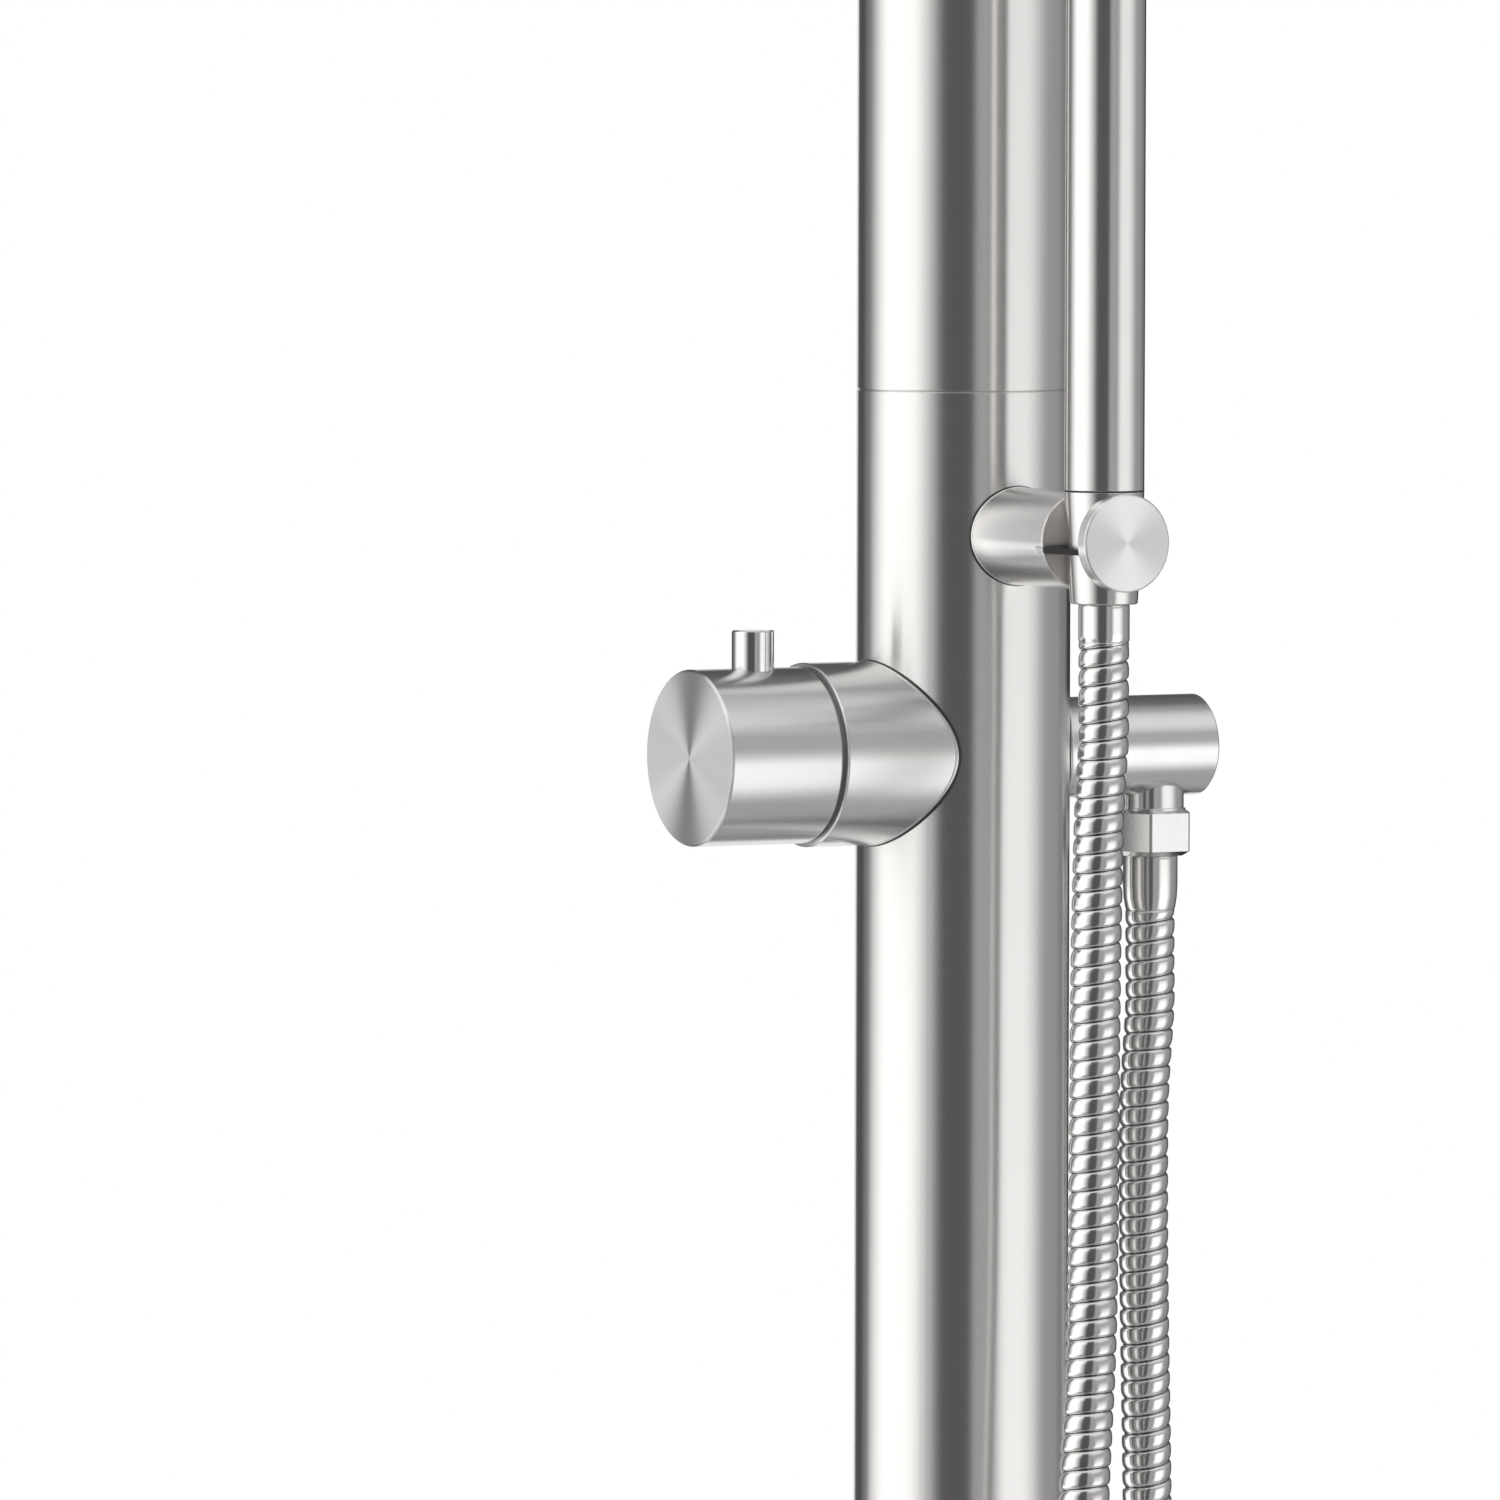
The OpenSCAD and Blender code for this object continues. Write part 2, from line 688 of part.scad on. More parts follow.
module outlet_washer() {
    color(rubber) translate([outlet_x, 0, mixer_h - nut_low + nut_floor_t]) difference() {
        bar(thread_d, 0, washer_t);
        bar(washer_inner_d, -over, washer_t + over);
    }
}

module hose_nut() {
    color(steel) translate([outlet_x, 0, mixer_h - nut_low]) difference() {
        intersection() {
            cylinder(d = hose_nut_af / cos(30), h = hose_nut_l, $fn = 6);
            double_chamfered_bar(hose_nut_af / cos(30), 0, hose_nut_l, hose_nut_chamfer);
        }
        bar(thread_d + 2 * fit_gap, nut_floor_t, hose_nut_l + over);
        bar(hose_bore_d, -over, hose_nut_l);
    }
}

module outlet_ferrule() {
    color(steel) translate([outlet_x, 0, mixer_h - outlet_ferrule_low]) difference() {
        double_chamfered_bar(outlet_ferrule_d, 0, outlet_ferrule_l, seam_line);
        bar(hose_bore_d, -over, outlet_ferrule_l + over);
    }
}

// One triangle mesh: ribbed skin, plain bore, and a flat ring at each end
module shower_hose() {
    rib_pitch = (hose_l - 2 * hose_d) / rib_count;
    crest = hose_d / 2;
    groove = crest - rib_depth;
    skin_runs = concat([[0, groove]],
        [for (i = [0 : rib_count - 1]) each [
            [hose_d + i * rib_pitch, groove], [hose_d + (i + 0.5) * rib_pitch, crest]]],
        [[hose_l - hose_d, groove], [hose_l, groove]]);
    bore_runs = [for (i = [0 : bore_ring_count - 1]) i * hose_l / (bore_ring_count - 1)];
    skin_rings = len(skin_runs);
    skin_points = [for (run = skin_runs) each ring_at(run[0], run[1])];
    bore_points = [for (run = bore_runs) each ring_at(run, hose_bore_d / 2)];
    bore_base = len(skin_points);
    n = hose_sides;
    skin_faces = [for (i = [0 : skin_rings - 2], k = [0 : n - 1])
        let (a = i * n + k, b = i * n + (k + 1) % n) each [[a, b, b + n], [a, b + n, a + n]]];
    bore_faces = [for (i = [0 : bore_ring_count - 2], k = [0 : n - 1])
        let (a = bore_base + i * n + k, b = bore_base + i * n + (k + 1) % n)
        each [[b, a, b + n], [a, a + n, b + n]]];
    skin_last = (skin_rings - 1) * n;
    bore_last = bore_base + (bore_ring_count - 1) * n;
    end_faces = [for (k = [0 : n - 1]) let (j = (k + 1) % n) each [
        [j, k, bore_base + k], [j, bore_base + k, bore_base + j],
        [skin_last + k, skin_last + j, bore_last + j],
        [skin_last + k, bore_last + j, bore_last + k]]];
    color(steel) polyhedron(points = concat(skin_points, bore_points),
        faces = concat(skin_faces, bore_faces, end_faces), convexity = 10);
}

module handset_ferrule() {
    color(steel) translate([0, -handset_reach, ferrule_low_h]) difference() {
        double_chamfered_bar(handset_ferrule_d, 0, handset_ferrule_l, seam_line);
        bar(hose_bore_d, -over, handset_ferrule_l + over);
    }
}

module cone_nut() {
    color(steel) translate([0, -handset_reach, 0]) difference() {
        union() {
            translate([0, 0, cone_low_h])
                cylinder(d1 = cone_small_d - 2 * seam_line, d2 = cone_small_d, h = seam_line);
            translate([0, 0, cone_low_h + seam_line])
                cylinder(d1 = cone_small_d, d2 = handset_d, h = cone_l - 2 * seam_line);
            translate([0, 0, cone_top_h - seam_line])
                cylinder(d1 = handset_d, d2 = handset_d - 2 * seam_line, h = seam_line);
        }
        bar(thread_d + 2 * fit_gap, cone_floor_h, cone_top_h + over);
        bar(hose_bore_d, cone_low_h - over, cone_top_h);
    }
}

module handset_washer() {
    color(rubber) translate([0, -handset_reach, cone_floor_h]) difference() {
        bar(thread_d, 0, washer_t);
        bar(washer_inner_d, -over, washer_t + over);
    }
}

module handset_inlet() {
    color(dark_plastic) translate([0, -handset_reach, 0]) difference() {
        union() {
            bar(thread_d, cone_floor_h + washer_t, cone_top_h);
            bar(2 * (handset_bore_r - fit_gap), cone_top_h, cone_top_h + inlet_up);
        }
        bar(washer_inner_d, cone_floor_h, cone_top_h + inlet_up + over);
    }
}

// A straight slot with round ends, drawn towards -Y in front of the hand shower's axis
module spray_slot(margin) {
    w = spray_w + 2 * margin;
    straight = spray_l - spray_w;
    translate([0, -handset_reach, spray_mid_h]) rotate([90, 0, 0]) {
        translate([-w / 2, -straight / 2, 0]) cube([w, straight, handset_d]);
        for (side = [-1, 1]) translate([0, side * straight / 2, 0]) cylinder(d = w, h = handset_d);
    }
}
module handset_tube() {
    color(steel) difference() {
        translate([0, -handset_reach, 0]) difference() {
            union() {
                translate([0, 0, cone_top_h])
                    cylinder(d1 = handset_d - 2 * seam_line, d2 = handset_d, h = seam_line);
                bar(handset_d, cone_top_h + seam_line, handset_top_h);
            }
            bar(2 * handset_bore_r, cone_top_h - over, handset_top_h + over);
        }
        spray_slot(fit_gap);
    }
}

module handset_nozzles() {
    front_r = handset_r - fit_gap;
    back_r = handset_bore_r - fit_gap - spray_back_t;
    nub_pitch = (spray_l - spray_w) / (spray_columns - 1);
    color(silicone) {
        difference() {
            union() {
                intersection() {
                    spray_slot(0);
                    translate([0, -handset_reach, 0]) bar(2 * front_r, cone_top_h, handset_top_h);
                }
                intersection() {
                    spray_slot(spray_lip);
                    translate([0, -handset_reach, 0])
                        bar(2 * (handset_bore_r - fit_gap), cone_top_h, handset_top_h);
                }
            }
            translate([0, -handset_reach, 0]) bar(2 * back_r, cone_top_h, handset_top_h);
        }
        for (row = [0 : spray_rows - 1], i = [0 : spray_columns - 1])
            translate([(row - (spray_rows - 1) / 2) * spray_row_pitch, -handset_reach,
                    spray_mid_h + (i - (spray_columns - 1) / 2) * nub_pitch])
                rotate([90, 0, 0]) bar(spray_nub_d, back_r + fit_gap, front_r + spray_stand);
    }
}

module handset_cap() {
    color(turned_steel) translate([0, -handset_reach, 0]) {
        chamfered_bar(handset_d, handset_top_h, handset_top_h + handset_cap_t, seam_line);
        bar(2 * (handset_bore_r - fit_gap), handset_top_h - handset_cap_plug_l, handset_top_h);
    }
}

// The space that the hand shower's conical nut takes in the holder, with its clearance
module cone_cutter() {
    translate([0, -handset_reach, cone_low_h])
        cylinder(d1 = cone_small_d + 2 * seat_gap, d2 = handset_d + 2 * seat_gap, h = cone_l);
}
// The slab of the holder's plate, between two distances from the column's axis
module plate_slab(low, high, gap) {
    intersection() {
        along_front(holder_h) bar(holder_d - 2 * gap, low, high);
        translate([-holder_d, -high, plate_mid_h - holder_plate_t / 2 - gap])
            cube([2 * holder_d, high - low, holder_plate_t + 2 * gap]);
    }
}

module holder_arm() {
    color(steel) difference() {
        along_front(holder_h) chamfered_bar(holder_d, 0, holder_arm_end, seam_line);
        column_cutter();
        cone_cutter();
        plate_slab(holder_arm_end - plate_tongue_l, holder_arm_end + over, 0);
    }
}

module holder_plate() {
    color(steel) difference() {
        plate_slab(holder_arm_end - plate_tongue_l, disc_back, 0);
        translate([0, -handset_reach, 0]) {
            bar(plate_hole_d, plate_mid_h - holder_d, plate_mid_h + holder_d);
            translate([0, -holder_d, plate_mid_h - holder_d])
                cube([holder_d, holder_d + hose_slot_w / 2, 2 * holder_d]);
        }
    }
}

module holder_disc() {
    color(turned_steel) difference() {
        along_front(holder_h) double_chamfered_bar(holder_d, disc_back, disc_face, disc_chamfer);
        cone_cutter();
    }
}

module shower_arm() {
    color(steel) difference() {
        union() {
            difference() {
                along_front(arm_h) chamfered_bar(arm_d, 0, arm_end, arm_chamfer);
                column_cutter();
            }
            along_front(arm_h) bar(arm_tail_d, arm_tail_end, column_r + over);
            translate([0, -head_reach, 0]) {
                bar(neck_d, neck_low_h, arm_h);
                bar(thread_d, neck_low_h - neck_thread_l, neck_low_h);
            }
        }
        along_front(arm_h) {
            bar(riser_d + 2 * fit_gap, 0, column_r + over);
            bar(arm_d - 2 * arm_wall, column_r + over, arm_end - arm_end_wall);
        }
        translate([0, -head_reach, 0]) bar(nipple_bore_d, neck_low_h - neck_thread_l - over, arm_h);
    }
}

module arm_washer() {
    color(rubber) translate([0, -head_reach, neck_low_h - neck_thread_l - washer_t]) difference() {
        bar(thread_d, 0, washer_t);
        bar(washer_inner_d, -over, washer_t + over);
    }
}

module ball_inlet() {
    color(turned_steel) translate([0, -head_reach, 0]) difference() {
        union() {
            double_chamfered_bar(ball_inlet_d, neck_low_h - ball_inlet_l, neck_low_h, seam_line);
            bar(ball_neck_d, ball_h, neck_low_h - ball_inlet_l + seam_line);
            translate([0, 0, ball_h]) sphere(d = ball_d);
        }
        bar(thread_d + 2 * fit_gap, neck_low_h - neck_thread_l - washer_t, neck_low_h + over);
        bar(ball_inlet_bore_d, ball_h - ball_d, neck_low_h);
    }
}

module ball_collar() {
    color(turned_steel) translate([0, -head_reach, ball_h]) difference() {
        double_chamfered_bar(collar_d, -collar_down, collar_up, collar_chamfer);
        sphere(d = ball_d + 2 * ball_gap);
        bar(collar_thread_d, -collar_down - over, -seat_top_drop + fit_gap);
    }
}

module ball_seat() {
    color(pale_plastic) translate([0, -head_reach, ball_h]) difference() {
        bar(collar_thread_d - 2 * fit_gap, -seat_low_drop, -seat_top_drop);
        sphere(d = ball_d + 2 * ball_gap);
        bar(nipple_bore_d, -collar_down, 0);
    }
}

module head_shell() {
    color(steel) translate([0, -head_reach, 0]) difference() {
        union() {
            double_chamfered_bar(head_d, head_low_h, head_top_h, head_edge);
            bar(collar_thread_d - 2 * fit_gap, head_top_h - head_edge, ball_h - seat_low_drop);
        }
        bar(head_d - 2 * head_wall, head_low_h - over, head_top_h - head_wall);
        bar(nipple_bore_d, head_low_h, ball_h);
    }
}

// Runs its children at every nozzle place: one in the middle, then rings
module at_nozzles() {
    children();
    for (ring = [1 : nozzle_rings], k = [0 : nozzles_per_ring * ring - 1])
        rotate([0, 0, 360 * k / (nozzles_per_ring * ring)])
            translate([ring * nozzle_pitch, 0, 0]) children();
}

module nozzle_plate() {
    color(turned_steel) translate([0, -head_reach, 0]) difference() {
        bar(head_d - 2 * head_wall - 2 * fit_gap, head_low_h, plate_high_h);
        at_nozzles() bar(nozzle_d + 2 * nozzle_hole_gap, head_low_h - over, plate_high_h + over);
    }
}

module nozzle_mat() {
    color(silicone) translate([0, -head_reach, 0]) {
        bar(head_d - 2 * head_wall - 2 * mat_margin, plate_high_h + mat_gap,
            plate_high_h + mat_gap + mat_t);
        at_nozzles() bar(nozzle_d, head_low_h - nozzle_stand, plate_high_h + mat_gap + mat_t / 2);
    }
}

base_flange();
lower_column();
upper_column();
joint_tube();
column_cap();
base_screws();
joint_screws();
mixer_shell();
glide_ring();
valve_body();
mixer_cartridge();
cartridge_nut();
mixer_spindle();
mixer_knob();
knob_pin();
cold_supply_pipe();
hot_supply_pipe();
inlet_unions();
riser_pipe();
outlet_feed_pipe();
outlet_body();
outlet_nipple();
check_valve();
outlet_washer();
hose_nut();
outlet_ferrule();
shower_hose();
handset_ferrule();
cone_nut();
handset_washer();
handset_inlet();
handset_tube();
handset_nozzles();
handset_cap();
holder_arm();
holder_plate();
holder_disc();
shower_arm();
arm_washer();
ball_inlet();
ball_collar();
ball_seat();
head_shell();
nozzle_plate();
nozzle_mat();
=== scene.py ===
"""Looks of the outdoor shower post: finishes, the ribbed hose, studio, camera and floor. Metres, +Z up."""
import math

import bpy
from mathutils import Matrix, Vector


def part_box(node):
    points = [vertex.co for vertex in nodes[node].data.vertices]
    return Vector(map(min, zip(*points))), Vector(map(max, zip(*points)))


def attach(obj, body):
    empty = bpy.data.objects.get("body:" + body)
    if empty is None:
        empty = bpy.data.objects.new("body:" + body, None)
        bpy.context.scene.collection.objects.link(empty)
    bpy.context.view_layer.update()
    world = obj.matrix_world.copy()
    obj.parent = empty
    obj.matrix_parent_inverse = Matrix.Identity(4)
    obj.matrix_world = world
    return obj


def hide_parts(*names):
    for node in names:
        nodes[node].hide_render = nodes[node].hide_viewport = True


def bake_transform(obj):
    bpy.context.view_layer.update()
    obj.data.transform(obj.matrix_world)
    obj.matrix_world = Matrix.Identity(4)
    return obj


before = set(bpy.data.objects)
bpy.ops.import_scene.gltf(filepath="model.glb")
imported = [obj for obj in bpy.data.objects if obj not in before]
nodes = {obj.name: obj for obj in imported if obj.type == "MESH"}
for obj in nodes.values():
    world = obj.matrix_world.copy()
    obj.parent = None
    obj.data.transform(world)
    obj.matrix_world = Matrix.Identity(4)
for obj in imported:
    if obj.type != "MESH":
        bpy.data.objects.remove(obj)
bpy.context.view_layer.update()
scene = bpy.context.scene
X, Y, Z = (1, 0, 0), (0, 1, 0), (0, 0, 1)


def middle(name):
    low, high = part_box(name)
    return (low + high) / 2


def half_width(name, axis="x"):
    """Half of a CAD node's size along one axis: the radius of a round one."""
    low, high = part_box(name)
    return getattr(high - low, axis) / 2


# Places that come from the frame
FERRULE_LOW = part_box("handset_ferrule")[0]
OUTLET_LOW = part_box("outlet_ferrule")[0]
COLUMN_AXIS = (0, 0, 0)
MIXER_AXIS = middle("mixer_shell")
HOLDER_AXIS = middle("holder_disc")
HANDSET_AXIS = middle("handset_ferrule")
OUTLET_AXIS = middle("outlet_ferrule")
HEAD_AXIS = middle("head_shell")
ARM_AXIS = (0, 0, middle("shower_arm").z)

# Camera: where the photograph was taken from, seen from the column's axis
CAMERA_AZIMUTH = math.radians(-30.35)
CAMERA_DISTANCE = 4.0
CAMERA_H = 1.2653
CAMERA_YAW = math.radians(29.50)
CAMERA_PITCH = math.radians(-3.0812)
CAMERA_ROLL = math.radians(-0.1375)
CAMERA_LENS = 344.34
CAMERA_SENSOR = 36.0
CAMERA_REACH = 100

# Hose: the route's points from the hand shower's ferrule to the outlet's, the same as in the CAD source
HOSE_POINTS_MM = [
    (-0.8, -76, 1040), (-1.5, -75.5, 1000), (-1.9, -75.5, 950), (-2.4, -76, 915), (-4, -77.5, 885),
    (-7.5, -80, 845), (-11, -84, 790), (-14, -89.5, 725), (-16.6, -95, 655), (-18.5, -99.6, 594),
    (-19.1, -101.2, 548), (-19.3, -101.8, 502), (-19.3, -101.8, 456), (-12.8, -93.3, 412),
    (4.9, -69.9, 379.8), (29, -38, 368), (53.1, -6.1, 379.8), (70.8, 17.3, 412), (77.3, 25.8, 456),
    (77.3, 25.8, 502), (77.1, 25.2, 548), (76.3, 23.6, 594), (74.6, 20, 655), (72, 16, 725),
    (68.2, 10.6, 790), (64.5, 6, 845), (61.5, 2.5, 885), (60, 0.8, 915), (59.6, 0, 950)]
MM_PER_M = 1000
HOSE_D = 0.014
HOSE_BORE_D = 0.008
HOSE_PITCH = 0.00515
# Steps of the smooth curve between two route points, sides of the round hose, and how far apart the rings
# of its plain bore lie at most
CURVE_STEPS = 12
HOSE_SIDES = 36
BORE_RING_GAP = 0.012
# One turn of the hose's rolled strip: share of the turn, depth below the hose's outside in metres
STRIP_PROFILE = (
    (0.00, 0.00105), (0.025, 0.00075), (0.06, 0.00058), (0.12, 0.0004), (0.20, 0.00023), (0.30, 0.0001),
    (0.40, 0.00003), (0.50, 0.0), (0.72, 0.0), (0.80, 0.00004), (0.87, 0.00015), (0.92, 0.00033),
    (0.955, 0.00054), (0.98, 0.00078))
# Deeper than this the strip gets painted shade: a dark colour that stands for the shadow inside the groove
GROOVE_DEPTH = 0.0008
# Over this last length at each ferrule the hose has no grooves, and its outside lies only this deep
HOSE_END_PLAIN = 0.001
HOSE_END_DEPTH = 0.0001
# Points whose places along the route agree to this many decimals share one frame of the route
RING_DECIMALS = 7

# Turned parts: sides of their round, and from which angle on an edge is shaded as a sharp one
LATHE_SIDES = 72
SHARP_TURNED = math.radians(35)
# Ferrules: their small edges, and the share of their length before they draw in to the hose
FERRULE_EDGE = 0.0006
FERRULE_STRAIGHT_SHARE = 0.55
# Halfway down the neck, how much of the width that it loses is still there
FERRULE_NECK_LEFT = 0.7
# Dark ring under the hand shower, painted shade of the seam between cone nut and tube: height, how far
# inside the tube's outside it starts, how far it bulges out from there, and the step of its round outline in
# degrees
SHADE_RING_H = 0.0007
SHADE_RING_IN = 0.00105
SHADE_RING_BULGE = 0.001085
SHADE_RING_STEP = 15

# Hose nut: the rounding between its flats, and how far inside the flats its end faces stop
NUT_SIDES = 6
NUT_EDGE = 0.0012
NUT_EDGE_STOPS = 10
NUT_END_IN = 0.0009
NUT_CHAMFER = math.radians(30)
SHARP_NUT = math.radians(20)

# Lines round the feet of the parts that are welded to the column, a painted shadow of the joint's gap and a
# painted highlight of its edge: thickness, places along them, and sides
FOOT_LINE_R = 0.00045
FOOT_LINE_STOPS = 120
FOOT_LINE_SIDES = 10

# Colours of the finishes, and of the painted shade and painted highlights marked below
STEEL = (0.76, 0.752, 0.742)
TURNED = (0.78, 0.775, 0.77)
POLISHED = (0.80, 0.797, 0.79)
HOSE_STEEL = (0.76, 0.757, 0.75)
# The hose's grooves: painted shade, a dark colour in place of their shadow
HOSE_GROOVE_SHADE = (0.16, 0.155, 0.15)
NUT_STEEL = (0.72, 0.717, 0.71)
HOLDER_STEEL = (0.86, 0.853, 0.846)
# Holder arm's end face: a darker colour, painted shade of the hand shower and disc beside it
HOLDER_FACE_SHADE = (0.74, 0.70, 0.69)
DISC_STEEL = (0.96, 0.955, 0.95)
SCREW_STEEL = (0.6, 0.6, 0.6)
PIPE_STEEL = (0.72, 0.72, 0.71)
BRASS = (0.80, 0.62, 0.33)
# Lines round the parts' feet: a dark painted shadow of the joint's gap and a bright painted highlight of its
# edge
SEAM_SHADE = (0.10, 0.098, 0.095)
SEAM_PAINTED_HIGHLIGHT = (0.92, 0.915, 0.91)
# Holder plate: black, painted shade of the slot between the arm and the hand shower
PLATE_BLACK_SHADE = (0.01, 0.01, 0.01)
DARK_PLASTIC = (0.035, 0.035, 0.037)
GLIDE_GREY = (0.15, 0.145, 0.14)
PALE_PLASTIC = (0.82, 0.82, 0.79)
BLACK_RUBBER = (0.03, 0.03, 0.032)
# Ring under the hand shower: black, painted shade of the seam
SHADE_RING_BLACK = (0.02, 0.02, 0.02)
SILICONE = (0.36, 0.37, 0.38)
FLOOR_DARK = (0.90, 0.90, 0.895)
FLOOR_LIGHT = (0.93, 0.93, 0.93)
FLOOR_FLAT = (0.9, 0.9, 0.9)

# Finishes: the part of a noise's range that its effect is spread over
NOISE_LOW, NOISE_HIGH = 0.3, 0.7
# Turned metal: the slow change along its rings, their relief, how much gloss and colour vary, and how much
# of the colour's change comes from the rings and not from soft clouds
RINGS_CHANGE = (30.0, 30.0, 30.0)
RING_DEPTH = 0.0000004
RING_GLOSS_SWING = 0.012
RING_COLOUR_SWING = 0.01
RINGS_SHARE = 0.5
# A quarter turn from the rings' own direction: highlights are drawn out across them
ACROSS_THE_RINGS = 0.25
# A face counts as an end face where this much of its normal lies along the axis
FACE_FROM, FACE_FULL = 0.85, 0.95
# Polished metal: how much its colour varies, and how much of that comes from its handling marks
PLAIN_COLOUR_SWING = 0.035
MARKS_SHARE = 0.4
# Plastic, rubber, and the holder plate's black painted shade
MOULDED_COLOUR_SWING = 0.08
MOULDED_GLOSS_SWING = 0.05
MOULDED_GRAIN = 0.0006
BEVEL_SAMPLES = 6
# The holder plate is painted black in front of the arm's end, painted shade of the dark slot there; behind
# it only its bare steel edge shows
PLATE_BARE_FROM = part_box("holder_arm")[0].y
PLATE_SHADE_BLUR = 0.0001

# CAD nodes that a piece of this script stands for
REPLACED = ("shower_hose", "outlet_ferrule", "handset_ferrule", "hose_nut")

# Studio, seen only in the metal. Angles in degrees: round from the camera's side, + to its right, and up
# from level. Each panel: name, its two sides with their soft edges, its two heights with theirs, brightness.
# OPEN lies past every angle, so the panel has no end there; STUDIO_BASE is the brightness between the panels
OPEN = 400
STUDIO_BASE = 0.36
PANELS = (
    ("floor", -OPEN, 1, OPEN, 1, -OPEN, 1, -40, 20, 0.45),
    ("ceiling", -OPEN, 1, OPEN, 1, 30, 26, OPEN, 1, 0.68),
    ("ceiling_front", -100, 30, 96, 20, 32, 24, 70, 20, 0.92),
    ("above_softbox", 30, 20, 110, 30, 4, 10, 24, 10, 0.50),
    ("ceiling_rear_right", 112, 24, OPEN, 1, 26, 16, 80, 16, 0.36),
    ("rear_up_right", 142, 18, OPEN, 1, 8, 10, 60, 12, 0.10),
    ("rear_up_left", -OPEN, 1, -146, 16, 8, 10, 58, 12, 0.14),
    ("rear_flag_right", 128, 10, OPEN, 1, -44, 14, 16, 12, 0.25),
    ("rear_edge_right", 149, 6, OPEN, 1, -44, 14, 16, 12, 0.03),
    ("rear_flag_left", -OPEN, 1, -116, 12, -40, 14, 52, 12, 0.22),
    ("rear_edge_left", -OPEN, 1, -133, 8, -40, 14, 52, 12, 0.08),
    ("backdrop_right", 174, 4, OPEN, 1, -60, 12, 6, 10, 1.0),
    ("backdrop_left", -OPEN, 1, -160, 8, -60, 12, 20, 10, 1.0),
    ("left_softbox", -103, 26, -41, 34, -20, 12, 44, 16, 1.38),
    ("left_low", -118, 12, -60, 34, -46, 20, -6, 8, 1.45),
    ("right_softbox", 41, 16, 87, 36, -41, 28, 1, 22, 1.5),
    ("camera_side", -27, 14, 12, 7, -60, 16, 50, 20, 0.10),
    ("camera_right", 13, 6, 30, 12, -50, 16, 40, 20, 0.43),
)
# The panels' light is a little warm: shares of red, green and blue
STUDIO_TINT = (1.0, 0.992, 0.985)
# What dull surfaces get from every side in place of the studio
DIFFUSE_LEVEL = 0.80
WHITE = (1, 1, 1, 1)

# Floor: its size, its place just under the base plate, and from where and to where it fades out
FLOOR_RADIUS = 3.4
FLOOR_SIDES = 96
FLOOR_Z = -0.0003
FLOOR_FADE_FROM = 0.9
FLOOR_FADE_TO = FLOOR_RADIUS * 0.97

# Lamp: a soft disc overhead, aimed at the middle of the post
LAMP_PLACE = (-0.8, -1.2, 4.2)
LAMP_AIM = (0, 0, 1.0)
LAMP_D = 2.4
LAMP_WATTS = 60


def make_camera():
    data = bpy.data.cameras.new("photo_camera")
    data.sensor_width = CAMERA_SENSOR
    data.sensor_fit = "HORIZONTAL"
    data.lens = CAMERA_LENS
    data.clip_end = CAMERA_REACH
    camera = bpy.data.objects.new("photo_camera", data)
    scene.collection.objects.link(camera)
    place = Vector((math.sin(CAMERA_AZIMUTH) * CAMERA_DISTANCE,
                    -math.cos(CAMERA_AZIMUTH) * CAMERA_DISTANCE, CAMERA_H))
    ahead = Vector((math.sin(CAMERA_YAW) * math.cos(CAMERA_PITCH),
                    math.cos(CAMERA_YAW) * math.cos(CAMERA_PITCH), math.sin(CAMERA_PITCH)))
    right = ahead.cross(Vector(Z)).normalized()
    up = right.cross(ahead)
    turn = Matrix.Rotation(CAMERA_ROLL, 3, ahead)
    right, up = turn @ right, turn @ up
    matrix = Matrix((right, up, -ahead)).transposed().to_4x4()
    matrix.translation = place
    camera.matrix_world = matrix
    scene.camera = camera


def mesh_object(name, verts, faces, smooth=True):
    mesh = bpy.data.meshes.new(name)
    mesh.from_pydata([tuple(v) for v in verts], [], faces)
    mesh.update()
    mesh.polygons.foreach_set("use_smooth", [smooth] * len(mesh.polygons))
    obj = bpy.data.objects.new(name, mesh)
    scene.collection.objects.link(obj)
    return obj


class Route:
    """The hose's centreline, with its length, and a steady frame of two cross directions along it."""

    def __init__(self, points, across):
        curve = []
        last = len(points) - 1
        for i in range(last):
            a, b = points[max(i - 1, 0)], points[i]
            c, d = points[i + 1], points[min(i + 2, last)]
            for k in range(CURVE_STEPS):
                t = k / CURVE_STEPS
                curve.append((b * 2 + (c - a) * t + (a * 2 - b * 5 + c * 4 - d) * t * t
                              + (b * 3 - a - c * 3 + d) * t * t * t) / 2)
        curve.append(points[-1].copy())
        self.curve = curve
        self.run = [0.0]
        for a, b in zip(curve, curve[1:]):
            self.run.append(self.run[-1] + (b - a).length)
        self.length = self.run[-1]
        self.across = across
        self.at = 0

    def place(self, s):
        s = min(max(s, 0.0), self.length)
        i = self.at
        while i > 0 and self.run[i] > s:
            i -= 1
        while i < len(self.run) - 2 and self.run[i + 1] < s:
            i += 1
        self.at = i
        share = (s - self.run[i]) / (self.run[i + 1] - self.run[i])
        return self.curve[i].lerp(self.curve[i + 1], share)

    def frame(self, s, step=HOSE_D / 4):
        tangent = (self.place(s + step) - self.place(s - step)).normalized()
        side = tangent.cross(self.across).normalized()
        return self.place(s), side, tangent.cross(side)


def hose_route():
    start = Vector((HANDSET_AXIS.x, HANDSET_AXIS.y, FERRULE_LOW.z))
    finish = Vector((OUTLET_AXIS.x, OUTLET_AXIS.y, OUTLET_LOW.z))
    down = Vector((0, 0, -HOSE_D))
    points = [start, start + down, start + 2 * down]
    points += [Vector(p) / MM_PER_M for p in HOSE_POINTS_MM]
    points += [finish + 2 * down, finish + down, finish]
    return Route(points, Vector((finish.x, -start.y, 0)))


